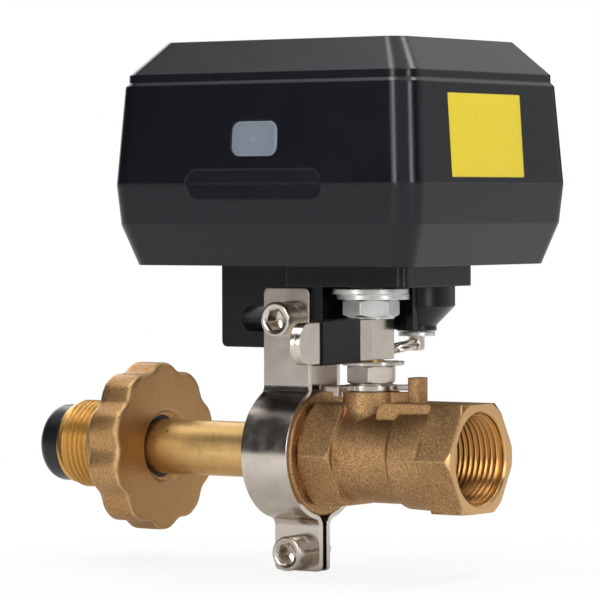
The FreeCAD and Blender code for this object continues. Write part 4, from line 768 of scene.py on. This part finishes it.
def makeHandwheel(w):
    # Outline turned about X. On the rim the radius also falls between lobes by a rounded wave of the bearing;
    # on the thread it rises and falls with a phase of place along X plus bearing over a full turn.
    front, back = w["front"], w["back"]
    head = roundedProfile([
        (front, w["sink"], w["sinkEdge"]), (front, w["rim"], w["rimWearAndHighlight"]), (back, w["rim"], w["rimWearAndHighlight"]),
        (back, w["hub"], w["fillet"]), (w["hubEnd"], w["hub"], w["hubEdge"]),
        (w["hubEnd"], w["threadRoot"], 0.0),
    ])
    thread = np.linspace(w["hubEnd"], w["threadEnd"], w["threadSteps"])
    thread = np.stack([thread, np.full_like(thread, w["threadRoot"])], axis=1)
    tail = roundedProfile([
        (w["threadEnd"], w["lead"], 0.0), (w["leadEnd"], w["lead"], w["leadEdge"]),
        (w["leadEnd"], w["bore"], w["boreEdge"]), (front - w["sinkDepth"], w["bore"], w["boreEdge"]),
    ])
    outline = np.concatenate([head, thread, tail])
    x, r = outline[:, 0][None, :], outline[:, 1][None, :]
    turn = bearings(w["roundSteps"])
    wave = 0.5 - 0.5 * np.cos(w["lobes"] * (turn - math.radians(w["firstLobe"])))
    inner = w["hub"] + w["rimWidth"]
    onRim = np.clip((r - inner) / (w["rim"] - inner), 0.0, 1.0) * (x > back - w["slack"])
    radius = r - w["valley"] * wave ** w["valleyPower"] * onRim
    rise = np.clip((x - w["threadEnd"]) / w["runIn"], 0.0, 1.0)
    fall = np.clip((w["hubEnd"] - x) / w["runOut"], 0.0, 1.0)
    onThread = (r == w["threadRoot"]) * rise * fall
    vee = threadShape(x / w["pitch"] + turn / fullTurn, w["threadFlat"])
    radius = radius + onThread * (w["threadCrest"] - w["threadRoot"]) * vee
    points = places(x, radius * np.cos(turn), radius * np.sin(turn))
    wheel = gridMesh("castHandwheel", points, "handwheel", "cast_brass", wrapColumns=True, flip=True)
    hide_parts("handwheel_nut")


makeHandwheel(handwheel)
print("handwheel made")

# Thread inside the outlet port

portThread = {
    "start": -13.4, "end": -1.05, "root": 10.93, "crest": 10.2, "backRadius": 11.1, "pitch": 1.5,
    "flat": 0.03, "power": 1.5, "runOut": 0.7, "roundSteps": 200, "alongSteps": 280,
}


def makePortThread(w):
    # Closed sleeve in the bore's wall: its inner radius falls from root to crest with a phase of place along
    # X minus bearing over a full turn, and its outer wall is plain.
    x = np.linspace(w["start"], w["end"], w["alongSteps"])
    turn = bearings(w["roundSteps"])
    vee = threadShape(x / w["pitch"] - turn / fullTurn, w["flat"]) ** w["power"]
    fade = np.clip((w["end"] - x) / w["runOut"], 0.0, 1.0) * np.clip((x - w["start"]) / w["runOut"], 0.0, 1.0)
    inner = w["root"] - (w["root"] - w["crest"]) * vee * fade
    outer = np.full((w["roundSteps"], 2), w["backRadius"])
    radius = np.concatenate([inner, outer], axis=1)
    along = np.concatenate([x, [w["end"], w["start"]]])
    points = places(along, radius * np.cos(turn), radius * np.sin(turn))
    gridMesh("portThread", points, "frame", "forged_brass", wrapColumns=True, flip=True)


makePortThread(portThread)
print("port thread made")

# Clamp screws

clampScrew = {
    "x": -51.8, "headRadius": 4.25, "headHeight": 5.0, "edge": 0.5, "edgeSteps": 6,
    "sinkRadius": 2.9, "sinkDepth": 0.35,
    "flats": 4.6, "depth": 4.2, "hexTurn": 10.0,
    "floorShare": 0.97, "mouthShare": 1.02,      # of the socket's width, at its floor and its mouth
    "shank": 2.5, "plain": 0.5, "threadRoot": 2.12, "threadLength": 11.0, "threadFlat": 0.1,
    "pitch": 0.8, "runOut": 0.6, "point": 0.4, "pointDrop": 0.1,
    "soft": 0.05, "middle": 0.02,                # beside sharp corners, and about the middle of a cap
    "roundSteps": 120, "threadSteps": 140,
    # node: height, underside of the head and tip, both along Y
    "places": {"clamp_screw_upper": (32.7, -6.6, 11.6), "clamp_screw_lower": (-24.5, -2.1, 7.1)},
}


def makeClampScrew(w, node, z, under, tip):
    # Outline of (place along Y, radius) turned about Y. In the socket the radius is half the flats over the
    # cosine of the bearing from the nearest flat; on the thread it falls with a phase of place along Y minus
    # bearing over a full turn.
    soft, edge, wide, shank = w["soft"], w["edge"], w["headRadius"], w["shank"]
    face = under - w["headHeight"]
    floor, mouth = face + w["depth"], face + w["sinkDepth"]
    socket = np.array([(floor, w["middle"]), (floor, w["floorShare"]), (floor - soft, 1.0),
                       (mouth + soft, 1.0), (mouth, w["mouthShare"])])
    rim = [(face + soft, w["sinkRadius"] - soft), (face, w["sinkRadius"]), (face, wide - edge - soft)]
    s = np.linspace(0.0, np.pi / 2, w["edgeSteps"])
    bend = np.stack([face + edge * (1 - np.cos(s)), wide - edge * (1 - np.sin(s))], axis=1)
    head = [(face + edge + soft, wide), (under - 3 * soft, wide), (under - soft, wide), (under, wide - soft),
            (under, shank + soft), (under + soft, shank), (under + 3 * soft, shank)]
    start, end = tip - min(w["threadLength"], tip - under - w["plain"]), tip - w["point"]
    thread = np.linspace(start, end, w["threadSteps"])
    thread = np.stack([thread, np.full_like(thread, shank)], axis=1)
    point = [(tip, w["threadRoot"] - w["pointDrop"]), (tip, w["middle"])]
    rest = np.concatenate([rim, bend, head, thread, point])
    turn = bearings(w["roundSteps"])
    fromFlat = (turn - math.radians(w["hexTurn"])) % (np.pi / 3) - np.pi / 6
    socketRadius = w["flats"] / 2 / np.cos(fromFlat) * socket[:, 1]
    radius = np.concatenate([socketRadius, np.broadcast_to(rest[:, 1], (len(turn), len(rest)))], axis=1)
    y = np.concatenate([socket[:, 0], rest[:, 0]])
    onThread = np.clip((y - start) / w["runOut"], 0.0, 1.0) * (y <= end)
    groove = 1.0 - threadShape(y / w["pitch"] - turn / fullTurn, w["threadFlat"])
    radius = radius - onThread * (shank - w["threadRoot"]) * groove
    points = places(w["x"] + radius * np.cos(turn), y, z + radius * np.sin(turn))
    name = "".join(part.capitalize() for part in node.split("_"))
    screw = gridMesh("detailed" + name, points, "frame", "nickel", flip=True, caps=True)
    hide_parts(node)


for node, (height, under, tip) in clampScrew["places"].items():
    makeClampScrew(clampScrew, node, height, under, tip)
print("clamp screws made")

# Clutch spring

clutchSpring = {
    "y": 20.0, "radius": 3.9, "wire": 0.38, "low": 36.0, "high": 54.95, "turns": 6, "pull": 4.5,
    "steps": 300, "sides": 12,
}


def makeClutchSpring(w):
    # Round wire swept along a helix about the pin: bearing and height both grow evenly along it.
    s = np.linspace(0.0, 1.0, w["steps"])
    turn = s * w["turns"] * fullTurn
    rise = w["low"] + w["wire"] + s * (w["high"] - w["low"] - 2 * w["wire"])
    side = bearings(w["sides"])
    reach = w["radius"] + w["wire"] * np.cos(side)
    points = places(stemX + reach * np.cos(turn), w["y"] + reach * np.sin(turn),
                    rise + w["wire"] * np.sin(side))
    spring = gridMesh("clutchSpringWire", points, "clutch", "steel", flip=True, caps=True)
    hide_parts("clutch_spring")
    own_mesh(spring)


makeClutchSpring(clutchSpring)
print("clutch spring made")

# Split pull ring

splitRing = {
    "radius": 6.4, "wire": 0.66, "step": 1.38, "tilt": 14.0, "heading": 205.0, "hole": 26.4, "pinY": 20.0,
    "turns": 2, "firstEnd": 108.0, "climbFrom": 0.44, "climbOver": 0.12,
    "endPower": 200, "endShare": 0.02, "steps": 200, "sides": 20,
}


def makeSplitRing(w):
    # Round wire swept along two turns, with closed round ends. Its height climbs by the step over a short
    # smooth stretch in the middle; then all is leaned by the tilt and turned to the heading.
    s = np.linspace(0.0, 1.0, w["steps"])
    turn = s * w["turns"] * fullTurn + math.radians(w["firstEnd"])
    climb = np.clip((s - w["climbFrom"]) / w["climbOver"], 0.0, 1.0)
    lift = w["step"] * (climb * climb * (3 - 2 * climb) - 0.5)
    taper = np.sqrt(np.clip(1.0 - ((2 * s - 1) ** 2) ** w["endPower"], 0.0, 1.0))
    wire = w["wire"] * np.maximum(taper, w["endShare"])
    side = bearings(w["sides"])
    reach = w["radius"] + wire * np.cos(side)
    points = places(w["radius"] + reach * np.cos(turn), reach * np.sin(turn), lift + wire * np.sin(side))
    lean = Matrix.Rotation(math.radians(w["tilt"]), 3, "Y")
    face = Matrix.Rotation(math.radians(w["heading"]), 3, "Z")
    points = points @ np.array(face @ lean).T + np.array([stemX, w["pinY"], w["hole"]])
    ring = gridMesh("splitPullRing", points, "clutch_ring", "nickel", flip=True, caps=True)
    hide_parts("pull_ring")


makeSplitRing(splitRing)
print("pull ring made")

# Bare yellow label on the right wall

label = {
    "wallX": 3.1, "wallZ": 65.4, "lean": 1.6 / 23.7,    # the wall's foot, and how far in over how far up
    "y": (-17.4, 14.5), "z": (66.9, 86.6),
    "corner": 0.5, "cornerSteps": 6, "thickness": 0.12,
    # share of the way out to the edge, and of the thickness above the wall
    "section": [(0.0001, 1.0), (0.5, 1.0), (0.995, 1.0), (1.0, 0.8), (1.0, 0.0), (0.995, -0.2), (0.5, -0.2),
                (0.0001, -0.2)],
}


def makeLabel(w):
    # Rings of a rounded rectangle that run from its middle out over the face, round the edge and back inside.
    # Each point's x is the wall's foot less the lean times the height over it, plus a share of the thickness.
    y0, y1 = w["y"]
    z0, z1 = w["z"]
    c = w["corner"]
    quarter = np.linspace(0.0, np.pi / 2, w["cornerSteps"])
    centres = np.array([(y1 - c, z1 - c), (y0 + c, z1 - c), (y0 + c, z0 + c), (y1 - c, z0 + c)])
    turn = quarter + (np.pi / 2) * np.arange(4)[:, None]
    outline = (centres[:, None, :] + c * np.stack([np.cos(turn), np.sin(turn)], axis=-1)).reshape(-1, 2)
    middle = np.array([(y0 + y1) / 2, (z0 + z1) / 2])
    share, proud = np.array(w["section"]).T
    rings = middle + (outline[:, None, :] - middle) * share[:, None]
    x = w["wallX"] - (rings[..., 1] - w["wallZ"]) * w["lean"] + proud * w["thickness"]
    points = places(x, rings[..., 0], rings[..., 1])
    gridMesh("bareLabel", points, "frame", "black_plastic", finish=labelYellow(), flip=True)


makeLabel(label)
print("label made")
